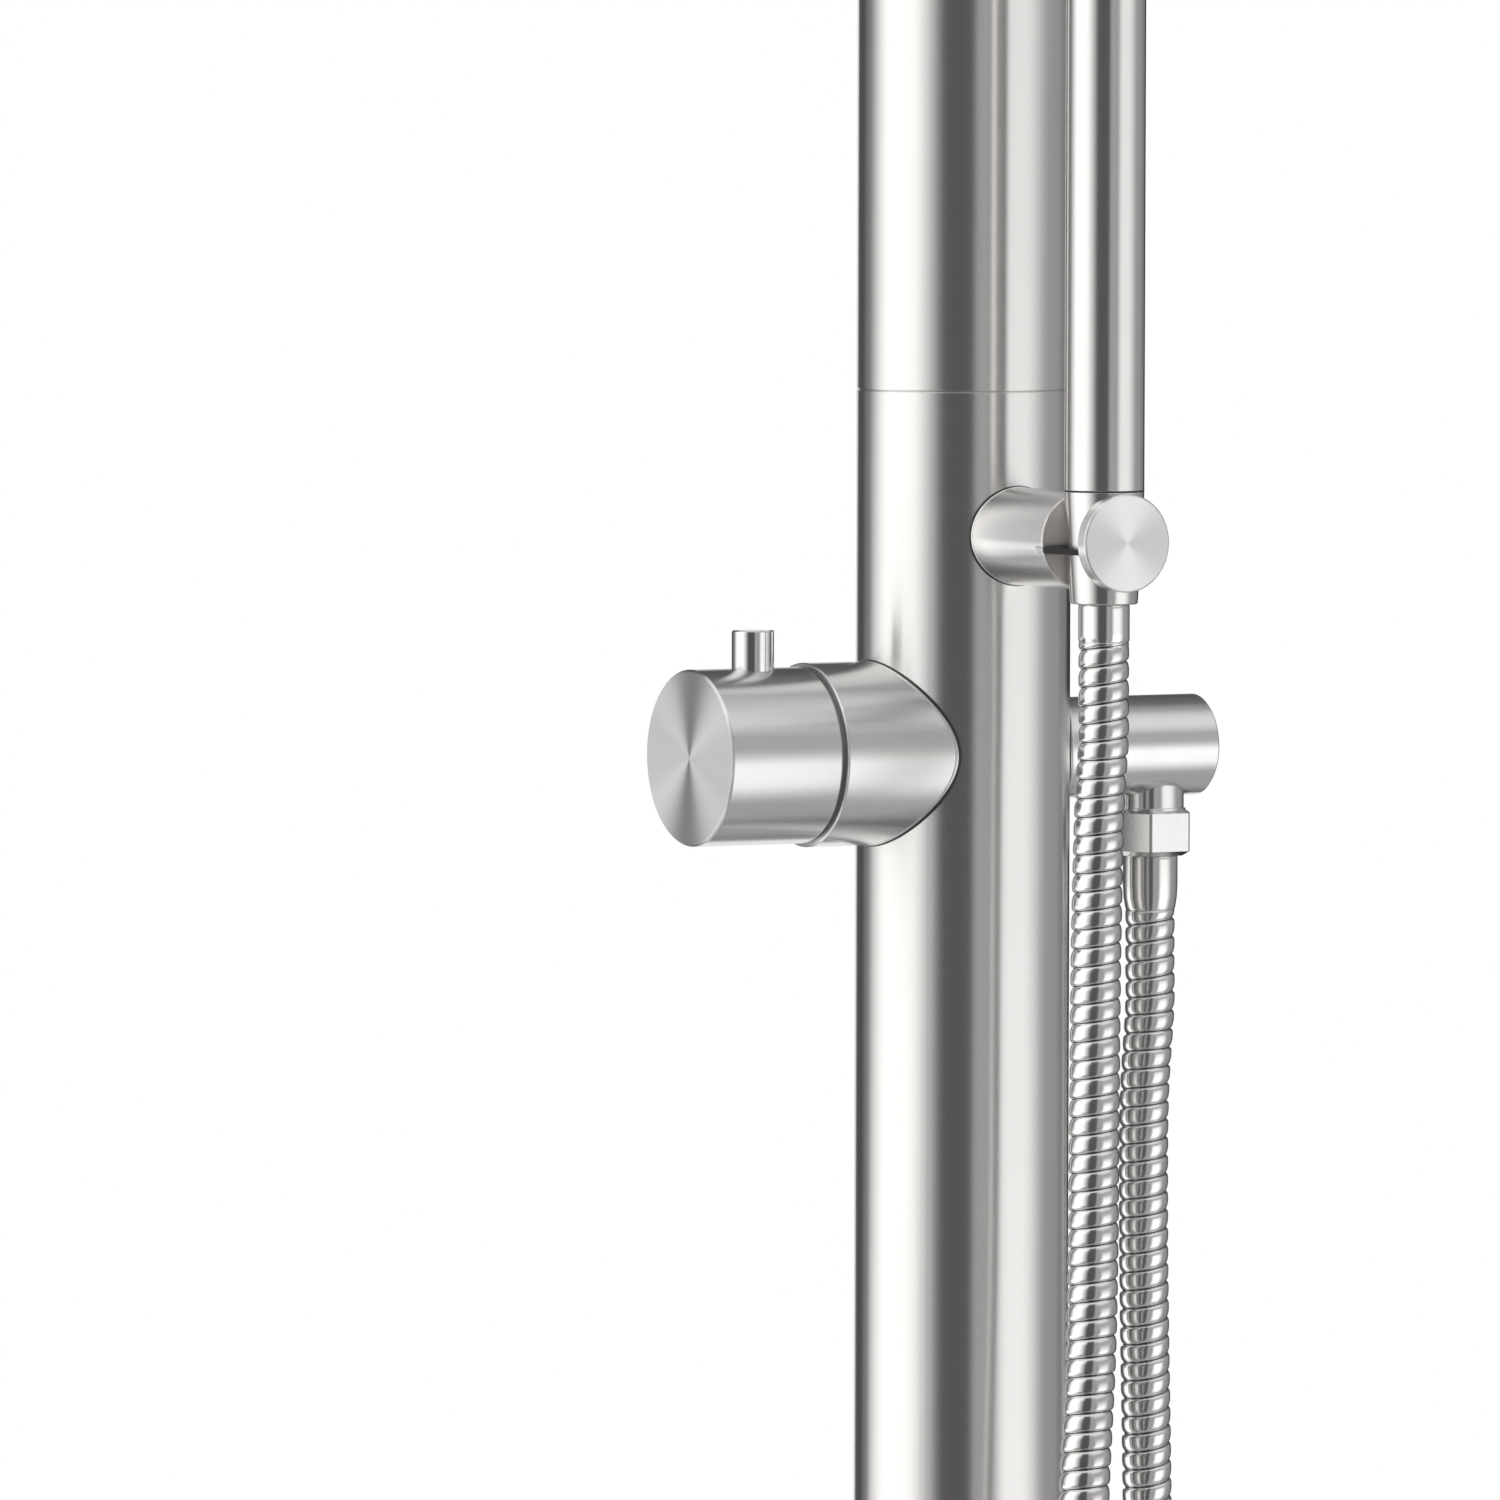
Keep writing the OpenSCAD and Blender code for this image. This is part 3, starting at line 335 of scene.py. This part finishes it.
def make_hose(route):
    """A closed tube wound from one strip: its outside follows the strip's helix, its bore is plain."""
    stops = [share for share, _ in STRIP_PROFILE]
    per_turn = len(stops)
    n = HOSE_SIDES
    turns = math.ceil(route.length / HOSE_PITCH) + 1
    angles = [2 * math.pi * k / n for k in range(n)]
    ring_cos, ring_sin = [math.cos(a) for a in angles], [math.sin(a) for a in angles]
    frames = {}

    def ring_point(s, k, r):
        key = round(s, RING_DECIMALS)
        if key not in frames:
            frames[key] = route.frame(s)
        place, side, up = frames[key]
        return place + (side * ring_cos[k] + up * ring_sin[k]) * r

    verts = [ring_point(0.0, k, HOSE_D / 2 - HOSE_END_DEPTH) for k in range(n)]
    verts += [ring_point(route.length, k, HOSE_D / 2 - HOSE_END_DEPTH) for k in range(n)]
    grid = []
    for row in range(-per_turn, per_turn * turns):
        turn, stop = divmod(row, per_turn)
        line = []
        for k in range(n):
            s = (turn + stops[stop] + k / n) * HOSE_PITCH
            if s <= 0:
                line.append(k)
            elif s >= route.length:
                line.append(n + k)
            else:
                depth = STRIP_PROFILE[stop][1]
                if min(s, route.length - s) < HOSE_END_PLAIN:
                    depth = min(depth, HOSE_END_DEPTH)
                line.append(len(verts))
                verts.append(ring_point(s, k, HOSE_D / 2 - depth))
        grid.append(line)
    faces, deep = [], []

    def add_face(row, *corners):
        kept = [c for i, c in enumerate(corners) if c != corners[i - 1]]
        if len(set(kept)) == len(kept) and len(kept) > 2:
            ends = STRIP_PROFILE[row % per_turn][1], STRIP_PROFILE[(row + 1) % per_turn][1]
            if max(ends) > GROOVE_DEPTH:
                deep.append(len(faces))
            faces.append(tuple(kept))

    for i in range(len(grid) - 1):
        for k in range(n - 1):
            add_face(i, grid[i][k], grid[i][k + 1], grid[i + 1][k + 1], grid[i + 1][k])
        if i + per_turn + 1 < len(grid):
            add_face(i, grid[i][n - 1], grid[i + per_turn][0], grid[i + per_turn + 1][0],
                     grid[i + 1][n - 1])
    bore_rings = math.ceil(route.length / BORE_RING_GAP)
    bore = []
    for i in range(bore_rings + 1):
        bore.append(len(verts))
        s = i * route.length / bore_rings
        verts += [ring_point(s, k, HOSE_BORE_D / 2) for k in range(n)]
    for a, b in zip(bore, bore[1:]):
        for k in range(n):
            j = (k + 1) % n
            faces.append((a + j, a + k, b + k, b + j))
    for k in range(n):
        j = (k + 1) % n
        faces.append((j, k, bore[0] + k, bore[0] + j))
        faces.append((n + k, n + j, bore[-1] + j, bore[-1] + k))
    hose = mesh_object("shower_hose_ribbed", verts, faces)
    hose.data.materials.append(plain_metal("polished_hose", HOSE_STEEL, 0.16, fine=0.003, depth=0.000004))
    # Painted shade: the groove's deepest faces get a dark colour for the shadow inside them
    hose.data.materials.append(plain_metal("hose_groove_painted_shade", HOSE_GROOVE_SHADE, 0.4))
    for face in deep:
        hose.data.polygons[face].material_index = 1
    return hose


class Tree:
    """Short calls for building one node tree."""

    def __init__(self, tree):
        self.tree = tree
        tree.nodes.clear()

    def add(self, kind, inputs=None, **settings):
        """A new node with its settings, and its inputs by name: each a value or another node's output."""
        node = self.tree.nodes.new("ShaderNode" + kind)
        for key, value in settings.items():
            setattr(node, key, value)
        for key, value in (inputs or {}).items():
            self.link(value, node.inputs[key])
        return node

    def link(self, source, target):
        if isinstance(source, bpy.types.NodeSocket):
            self.tree.links.new(source, target)
        else:
            target.default_value = source

    def math(self, operation, a, b=0.0, c=0.0):
        node = self.add("Math", operation=operation)
        for value, socket in zip((a, b, c), node.inputs):
            self.link(value, socket)
        return node.outputs[0]

    def vector_math(self, operation, a, b=None):
        node = self.add("VectorMath", operation=operation)
        for value, socket in zip((a, b), node.inputs):
            if value is not None:
                self.link(value, socket)
        return node.outputs["Value" if operation in ("DOT_PRODUCT", "LENGTH") else "Vector"]

    def step(self, value, low, high, out_low=0.0, out_high=1.0):
        return self.add("MapRange", {"Value": value, "From Min": low, "From Max": high, "To Min": out_low,
                                     "To Max": out_high}, interpolation_type="SMOOTHSTEP").outputs["Result"]

    def noise(self, vector, scale, detail=2.0, roughness=0.5):
        return self.add("TexNoise", {"Vector": vector, "Scale": scale, "Detail": detail,
                                     "Roughness": roughness}).outputs["Fac"]

    def blend(self, a, share, b):
        """That share of a, and the rest of b."""
        return self.math("ADD", self.math("MULTIPLY", a, share), self.math("MULTIPLY", b, 1 - share))

    def swing(self, noise, value, amount):
        """A value that goes up and down with a noise."""
        return self.step(noise, NOISE_LOW, NOISE_HIGH, value - amount, value + amount)

    def mix_colour(self, factor, a, b):
        a, b = (c if isinstance(c, bpy.types.NodeSocket) else (*c, 1) for c in (a, b))
        return self.add("Mix", {"Factor": factor, "A": a, "B": b}, data_type="RGBA").outputs["Result"]

    def swing_colour(self, noise, colour, amount):
        """A colour that gets darker and lighter with a noise."""
        return self.mix_colour(self.step(noise, NOISE_LOW, NOISE_HIGH), [c * (1 - amount) for c in colour],
                               [min(1, c * (1 + amount)) for c in colour])

    def bump(self, height, distance, **inputs):
        return self.add("Bump", {"Height": height, "Distance": distance, **inputs}).outputs[0]

    def close(self, shader, kind="OutputMaterial"):
        self.add(kind, {"Surface": shader.outputs[0]})


def new_material(name, colour):
    material = bpy.data.materials.new(name)
    material.use_nodes = True
    material.diffuse_color = (*colour, 1)
    tree = Tree(material.node_tree)
    return material, tree, tree.add("TexCoord").outputs["Object"]


def turned_metal(name, axis, centre, colour, roughness, anisotropy=0.85, face_roughness=None,
                 face_shade_colour=None, grain=0.00035, edge=0.0003):
    """Metal ground or turned round one axis: fine rings on its sides and faces, highlights drawn out across
    them. Its edges, which real metal never has sharp, turn the light over the width edge."""
    material, tree, here = new_material(name, colour)
    axis = Vector(axis).normalized()
    place = tree.vector_math("SUBTRACT", here, Vector(centre))
    along = tree.vector_math("DOT_PRODUCT", place, axis)
    round_axis = tree.vector_math("CROSS_PRODUCT", axis, place)
    radius = tree.vector_math("LENGTH", round_axis)
    rings = tree.add("CombineXYZ", {"X": tree.math("MULTIPLY", tree.math("ADD", along, radius), 1 / grain)})
    slow = tree.vector_math("MULTIPLY", place, RINGS_CHANGE)
    lines = tree.noise(tree.vector_math("ADD", slow, rings.outputs[0]), scale=1.0, detail=3.0, roughness=0.6)
    clouds = tree.noise(place, scale=22.0)
    tint = tree.swing_colour(tree.blend(lines, RINGS_SHARE, clouds), colour, RING_COLOUR_SWING)
    rough = tree.swing(lines, roughness, RING_GLOSS_SWING)
    if face_roughness is not None:
        facing = tree.vector_math("DOT_PRODUCT", tree.add("NewGeometry").outputs["True Normal"], axis)
        face = tree.step(tree.math("ABSOLUTE", facing), FACE_FROM, FACE_FULL)
        rough = tree.math("ADD", rough, tree.math("MULTIPLY", face, face_roughness - roughness))
        # Painted shade: end faces get the darker face_shade_colour
        if face_shade_colour is not None:
            tint = tree.mix_colour(face, tint, face_shade_colour)
    soft = tree.add("Bevel", {"Radius": edge}, samples=BEVEL_SAMPLES)
    tree.close(tree.add("BsdfPrincipled", {
        "Metallic": 1, "Base Color": tint, "Roughness": rough, "Anisotropic": anisotropy,
        "Anisotropic Rotation": ACROSS_THE_RINGS, "Tangent": tree.vector_math("NORMALIZE", round_axis),
        "Normal": tree.bump(lines, RING_DEPTH, Normal=soft.outputs[0])}))
    return material


def plain_metal(name, colour, roughness, fine=0.0015, depth=0.000003, swing=0.03):
    """Polished metal with faint handling marks in its gloss."""
    material, tree, place = new_material(name, colour)
    marks = tree.noise(place, scale=1 / fine, detail=3.0, roughness=0.55)
    clouds = tree.noise(place, scale=45.0, detail=3.0)
    blend = tree.blend(marks, MARKS_SHARE, clouds)
    tree.close(tree.add("BsdfPrincipled", {
        "Metallic": 1, "Base Color": tree.swing_colour(blend, colour, PLAIN_COLOUR_SWING),
        "Roughness": tree.swing(blend, roughness, swing), "Normal": tree.bump(marks, depth)}))
    return material


def moulded(name, colour, roughness, depth=0.00002, sheen=0.0, bare_from=None):
    """Moulded plastic or rubber: a fine even texture and a slightly cloudy colour. A steel plate painted
    black as shade is bare steel where it lies further back than bare_from."""
    material, tree, place = new_material(name, colour)
    grain = tree.noise(place, scale=1 / MOULDED_GRAIN)
    tint = tree.swing_colour(tree.noise(place, scale=60.0, detail=3.0), colour, MOULDED_COLOUR_SWING)
    bare = 0.0
    if bare_from is not None:
        back = tree.vector_math("DOT_PRODUCT", place, Y)
        bare = tree.step(back, bare_from - PLATE_SHADE_BLUR, bare_from + PLATE_SHADE_BLUR)
        tint = tree.mix_colour(bare, tint, TURNED)
    tree.close(tree.add("BsdfPrincipled", {
        "Metallic": bare, "Base Color": tint, "Roughness": tree.swing(grain, roughness, MOULDED_GLOSS_SWING),
        "Sheen Weight": sheen, "Normal": tree.bump(grain, depth)}))
    return material


def lathe(name, axis_place, outline):
    """A closed body turned round Z from a closed outline of (radius, height) points."""
    n, m = LATHE_SIDES, len(outline)
    verts, faces = [], []
    for k in range(n):
        a = 2 * math.pi * k / n
        for radius, height in outline:
            verts.append((axis_place.x + radius * math.cos(a), axis_place.y + radius * math.sin(a), height))
    for k in range(n):
        j = (k + 1) % n
        for i in range(m):
            h = (i + 1) % m
            faces.append((k * m + i, j * m + i, j * m + h, k * m + h))
    obj = mesh_object(name, verts, faces)
    obj.data.set_sharp_from_angle(angle=SHARP_TURNED)
    return obj


def make_ferrule(name, node, axis_place, material):
    """A hose ferrule: straight below its nut, then drawn in to the hose."""
    low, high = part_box(node)
    length = high.z - low.z
    radius, edge, bore = half_width(node), FERRULE_EDGE, HOSE_BORE_D / 2
    end_radius = HOSE_D / 2 + HOSE_END_DEPTH
    straight = length * FERRULE_STRAIGHT_SHARE
    neck = radius * FERRULE_NECK_LEFT + end_radius * (1 - FERRULE_NECK_LEFT)
    outline = [(bore, 0.0), (radius - edge, 0.0), (radius - edge / 4, edge / 3), (radius, edge),
               (radius, 2 * edge), (radius, straight), (neck, (straight + length) / 2),
               (end_radius, length - edge), (end_radius - edge / 2, length), (bore, length)]
    ferrule = lathe(name, axis_place, [(r, high.z - down) for r, down in outline])
    ferrule.data.materials.append(material)
    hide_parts(node)
    return ferrule


def make_nut():
    """The hexagon nut: rounded corners between its flats, and turned chamfers on both ends."""
    low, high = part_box("hose_nut")
    flat = min(half_width("hose_nut"), half_width("hose_nut", "y"))
    half_corner = math.pi / NUT_SIDES
    corner = (flat - NUT_EDGE) / math.cos(half_corner)
    ring = []
    for k in range(NUT_SIDES):
        b = 2 * half_corner * k
        for stop in range(NUT_EDGE_STOPS + 1):
            a = b + half_corner * (2 * stop / NUT_EDGE_STOPS - 1)
            ring.append((corner * math.cos(b) + NUT_EDGE * math.cos(a),
                         corner * math.sin(b) + NUT_EDGE * math.sin(a)))
    n = len(ring)
    bore, face = HOSE_BORE_D / 2, flat - NUT_END_IN
    # From the bore's foot out, up and back in: radius (None is the outside), height, way the chamfer goes
    levels = ((bore, low.z, 0), (face, low.z, 0), (None, low.z, 1), (None, high.z, -1), (face, high.z, 0),
              (bore, high.z, 0))
    verts, faces = [], []
    for radius, height, way in levels:
        for x, y in ring:
            r = math.hypot(x, y)
            k = radius / r if radius else 1
            chamfer = way * (r - face) * math.tan(NUT_CHAMFER)
            verts.append((OUTLET_AXIS.x + x * k, OUTLET_AXIS.y + y * k, height + chamfer))
    for level in range(len(levels)):
        up = (level + 1) % len(levels)
        for k in range(n):
            j = (k + 1) % n
            faces.append((level * n + k, level * n + j, up * n + j, up * n + k))
    nut = mesh_object("hose_nut_hexagon", verts, faces)
    nut.data.set_sharp_from_angle(angle=SHARP_NUT)
    nut.data.materials.append(plain_metal("polished_nut", NUT_STEEL, 0.14, swing=0.02))
    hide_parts("hose_nut")
    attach(nut, "root")
    return nut


def foot_line(name, out, radius, height, lift, material):
    """A thin round line along the joint between the column and a cylinder that stands out of it."""
    out, up = Vector(out), Vector(Z)
    side = out.cross(up)
    column_r = half_width("lower_column")
    centres = []
    for i in range(FOOT_LINE_STOPS):
        a = 2 * math.pi * i / FOOT_LINE_STOPS
        along = math.sqrt(max(column_r ** 2 - (radius * math.cos(a)) ** 2, 0)) + lift
        spoke = side * math.cos(a) + up * math.sin(a)
        centres.append((out * along + spoke * radius + up * height, spoke))
    n = FOOT_LINE_SIDES
    verts, faces = [], []
    for i, (centre, spoke) in enumerate(centres):
        ahead = (centres[(i + 1) % FOOT_LINE_STOPS][0] - centres[i - 1][0]).normalized()
        across = ahead.cross(spoke).normalized()
        for k in range(n):
            b = 2 * math.pi * k / n
            verts.append(centre + (spoke * math.cos(b) + across * math.sin(b)) * FOOT_LINE_R)
    for i in range(FOOT_LINE_STOPS):
        j = (i + 1) % FOOT_LINE_STOPS
        for k in range(n):
            h = (k + 1) % n
            faces.append((i * n + k, i * n + h, j * n + h, j * n + k))
    line = mesh_object(name, verts, faces)
    line.data.materials.append(material)
    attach(line, "root")


def make_small_parts():
    """Painted shadow and painted highlight lines round the feet of the parts on the column, and a dark ring
    of painted shade in the seam under the hand shower.
    """
    painted_shadow_line = plain_metal("seam_shadow", SEAM_SHADE, 0.45)
    painted_highlight_line = plain_metal("painted_highlight_line", SEAM_PAINTED_HIGHLIGHT, 0.3)
    feet = (("shell", (-1, 0, 0), half_width("mixer_shell", "z"), MIXER_AXIS.z),
            ("outlet", X, half_width("outlet_body", "z"), MIXER_AXIS.z),
            ("holder", (0, -1, 0), half_width("holder_arm", "z"), HOLDER_AXIS.z))
    for part, out, radius, height in feet:
        # Each foot gets a dark line, painted shadow of the joint's gap, and a bright line just out on the
        # part, painted highlight of its edge
        foot_line(part + "_foot_painted_shadow", out, radius, height, 0.0, painted_shadow_line)
        foot_line(part + "_foot_painted_highlight", out, radius - FOOT_LINE_R / 2, height, 2 * FOOT_LINE_R, painted_highlight_line)
    inner = half_width("handset_tube") - SHADE_RING_IN
    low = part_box("handset_tube")[0].z
    angles = [math.radians(d) for d in range(-90, 91, SHADE_RING_STEP)]
    # Painted shade: a thin black ring just proud of the tube stands for the seam's shadow
    shade_ring = lathe("handset_shade_ring", HANDSET_AXIS,
                 [(inner + SHADE_RING_BULGE * math.cos(a), low + SHADE_RING_H / 2 * math.sin(a)) for a in angles])
    shade_ring.data.materials.append(moulded("shade_ring_black_paint", SHADE_RING_BLACK, 0.7))
    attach(shade_ring, "handset")


def finish_nodes():
    """One finish for each CAD node, drawn round the axis that the node was turned on."""
    column = turned_metal("brushed_column", Z, COLUMN_AXIS, STEEL, 0.26)
    base = turned_metal("brushed_base", Z, COLUMN_AXIS, STEEL, 0.3, face_roughness=0.38)
    shell = turned_metal("turned_shell", X, MIXER_AXIS, TURNED, 0.25, edge=0.0005)
    knob = turned_metal("turned_knob", X, MIXER_AXIS, TURNED, 0.25, 0.95, face_roughness=0.5, edge=0.0005)
    pin = turned_metal("turned_pin", Z, middle("knob_pin"), TURNED, 0.1)
    outlet = turned_metal("turned_outlet", X, MIXER_AXIS, TURNED, 0.25)
    outlet_neck = turned_metal("turned_outlet_neck", Z, OUTLET_AXIS, TURNED, 0.2)
    handset = turned_metal("brushed_handset", Z, HANDSET_AXIS, STEEL, 0.24)
    holder = turned_metal("turned_holder", Y, HOLDER_AXIS, HOLDER_STEEL, 0.25, 0.95, face_roughness=0.5,
                          face_shade_colour=HOLDER_FACE_SHADE, edge=0.0008)
    disc = turned_metal("turned_disc", Y, HOLDER_AXIS, DISC_STEEL, 0.25, 0.95, face_roughness=0.42,
                        edge=0.0005)
    arm = turned_metal("brushed_shower_arm", Y, ARM_AXIS, STEEL, 0.27)
    head = turned_metal("brushed_head", Z, HEAD_AXIS, STEEL, 0.28, face_roughness=0.36, grain=0.0009)
    screws = plain_metal("screw_steel", SCREW_STEEL, 0.25)
    pipe = plain_metal("pipe_steel", PIPE_STEEL, 0.3)
    brass = plain_metal("machined_brass", BRASS, 0.28)
    # Painted shade: the holder plate is black in front of the arm's end
    black = moulded("plate_black_painted_shade", PLATE_BLACK_SHADE, 0.6, depth=0.000004, bare_from=PLATE_BARE_FROM)
    dark = moulded("dark_plastic", DARK_PLASTIC, 0.5)
    glide = moulded("glide_ring_grey", GLIDE_GREY, 0.4)
    pale = moulded("pale_plastic", PALE_PLASTIC, 0.45)
    rubber = moulded("black_rubber", BLACK_RUBBER, 0.7)
    silicone = moulded("grey_silicone", SILICONE, 0.5, sheen=0.1)
    table = {
        column: ("lower_column", "upper_column", "column_cap"),
        base: ("base_flange",),
        shell: ("mixer_shell",),
        knob: ("mixer_knob", "mixer_spindle"),
        pin: ("knob_pin",),
        outlet: ("outlet_body",),
        outlet_neck: ("outlet_nipple",),
        handset: ("handset_tube", "cone_nut", "handset_cap"),
        holder: ("holder_arm",),
        disc: ("holder_disc",),
        arm: ("shower_arm",),
        head: ("ball_inlet", "ball_collar", "head_shell", "nozzle_plate"),
        screws: ("base_screws", "joint_screws"),
        pipe: ("joint_tube", "riser_pipe", "cold_supply_pipe", "hot_supply_pipe", "outlet_feed_pipe"),
        brass: ("valve_body", "cartridge_nut", "inlet_unions"),
        black: ("holder_plate",),
        dark: ("handset_inlet",),
        glide: ("glide_ring",),
        pale: ("mixer_cartridge", "check_valve", "ball_seat"),
        rubber: ("outlet_washer", "handset_washer", "arm_washer"),
        silicone: ("handset_nozzles", "nozzle_mat"),
    }
    for material, names in table.items():
        for name in names:
            slots = nodes[name].data.materials
            slots.clear()
            slots.append(material)
    bare = [n for n in nodes if n not in REPLACED and not any(n in names for names in table.values())]
    if bare:
        raise RuntimeError("no finish for " + ", ".join(sorted(bare)))


def make_world():
    """White for the camera, even light for dull surfaces, and the studio's panels for the metal."""
    world = bpy.data.worlds.new("studio")
    scene.world = world
    world.use_nodes = True
    tree = Tree(world.node_tree)
    way = tree.add("TexCoord").outputs["Generated"]
    camera_way = Vector((math.sin(CAMERA_AZIMUTH), -math.cos(CAMERA_AZIMUTH), 0))
    right_way = camera_way.cross(-Vector(Z))
    across = tree.vector_math("DOT_PRODUCT", way, right_way)
    near = tree.vector_math("DOT_PRODUCT", way, camera_way)
    turn = tree.math("DEGREES", tree.math("ARCTAN2", across, near))
    rise = tree.math("DEGREES", tree.math("ARCSINE", tree.vector_math("DOT_PRODUCT", way, Z)))

    def edge(angle, at, width, *levels):
        return tree.step(angle, at - width / 2, at + width / 2, *levels)

    level = STUDIO_BASE
    for name, left, left_edge, right, right_edge, low, low_edge, high, high_edge, brightness in PANELS:
        mask = tree.math("MULTIPLY", edge(turn, left, left_edge), edge(turn, right, right_edge, 1, 0))
        mask = tree.math("MULTIPLY", mask, edge(rise, low, low_edge))
        mask = tree.math("MULTIPLY", mask, edge(rise, high, high_edge, 1, 0))
        level = tree.add("Mix", {"Factor": mask, "A": level, "B": brightness}, data_type="FLOAT",
                         label=name).outputs["Result"]
    tint = tree.add("CombineColor")
    for socket, share in zip(tint.inputs, STUDIO_TINT):
        tree.link(tree.math("MULTIPLY", level, share), socket)
    studio = tree.add("Background", {"Color": tint.outputs[0]})
    plain = tree.add("Background", {"Color": WHITE, "Strength": DIFFUSE_LEVEL})
    white = tree.add("Background", {"Color": WHITE})
    ray = tree.add("LightPath").outputs
    lit = tree.add("MixShader")
    seen = tree.add("MixShader")
    shiny = tree.math("MAXIMUM", ray["Is Glossy Ray"], ray["Is Transmission Ray"])
    for mix, sources in ((lit, (shiny, plain.outputs[0], studio.outputs[0])),
                         (seen, (ray["Is Camera Ray"], lit.outputs[0], white.outputs[0]))):
        for source, socket in zip(sources, mix.inputs):
            tree.link(source, socket)
    tree.close(seen, "OutputWorld")


def make_floor():
    """A pale floor that fades into the white background; the metal sees the studio instead of it."""
    verts, faces = [(0, 0, FLOOR_Z)], []
    for k in range(FLOOR_SIDES):
        a = 2 * math.pi * k / FLOOR_SIDES
        verts.append((math.cos(a) * FLOOR_RADIUS, math.sin(a) * FLOOR_RADIUS, FLOOR_Z))
        faces.append((0, k + 1, (k + 1) % FLOOR_SIDES + 1))
    floor = mesh_object("studio_floor", verts, faces, smooth=False)
    material, tree, place = new_material("studio_floor", FLOOR_FLAT)
    cloudy = tree.mix_colour(tree.noise(place, scale=3.0), FLOOR_DARK, FLOOR_LIGHT)
    diffuse = tree.add("BsdfDiffuse", {"Color": cloudy})
    white = tree.add("Emission")
    fade = tree.add("MixShader")
    share = tree.step(tree.vector_math("LENGTH", place), FLOOR_FADE_FROM, FLOOR_FADE_TO)
    for source, socket in zip((share, diffuse.outputs[0], white.outputs[0]), fade.inputs):
        tree.link(source, socket)
    tree.close(fade)
    floor.data.materials.append(material)
    floor.visible_glossy = False


def make_lamp():
    data = bpy.data.lights.new("overhead", "AREA")
    data.shape = "DISK"
    data.size = LAMP_D
    data.energy = LAMP_WATTS
    lamp = bpy.data.objects.new("overhead", data)
    lamp.location = LAMP_PLACE
    lamp.rotation_euler = (Vector(LAMP_AIM) - lamp.location).to_track_quat("-Z", "Y").to_euler()
    lamp.visible_glossy = False
    lamp.visible_camera = False
    scene.collection.objects.link(lamp)


make_camera()
scene.view_settings.view_transform = "Standard"

route = hose_route()
hose = make_hose(route)
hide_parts("shower_hose")
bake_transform(hose)
outlet_ferrule = make_ferrule(
    "hose_ferrule_outlet", "outlet_ferrule", OUTLET_AXIS,
    turned_metal("polished_ferrule_outlet", Z, OUTLET_AXIS, STEEL, 0.17, 0.5))
handset_ferrule = make_ferrule(
    "hose_ferrule_handset", "handset_ferrule", HANDSET_AXIS,
    turned_metal("polished_ferrule_handset", Z, HANDSET_AXIS, POLISHED, 0.12, 0.3))
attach(outlet_ferrule, "root")
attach(handset_ferrule, "handset")
make_nut()

make_small_parts()
finish_nodes()
make_world()
make_floor()
make_lamp()
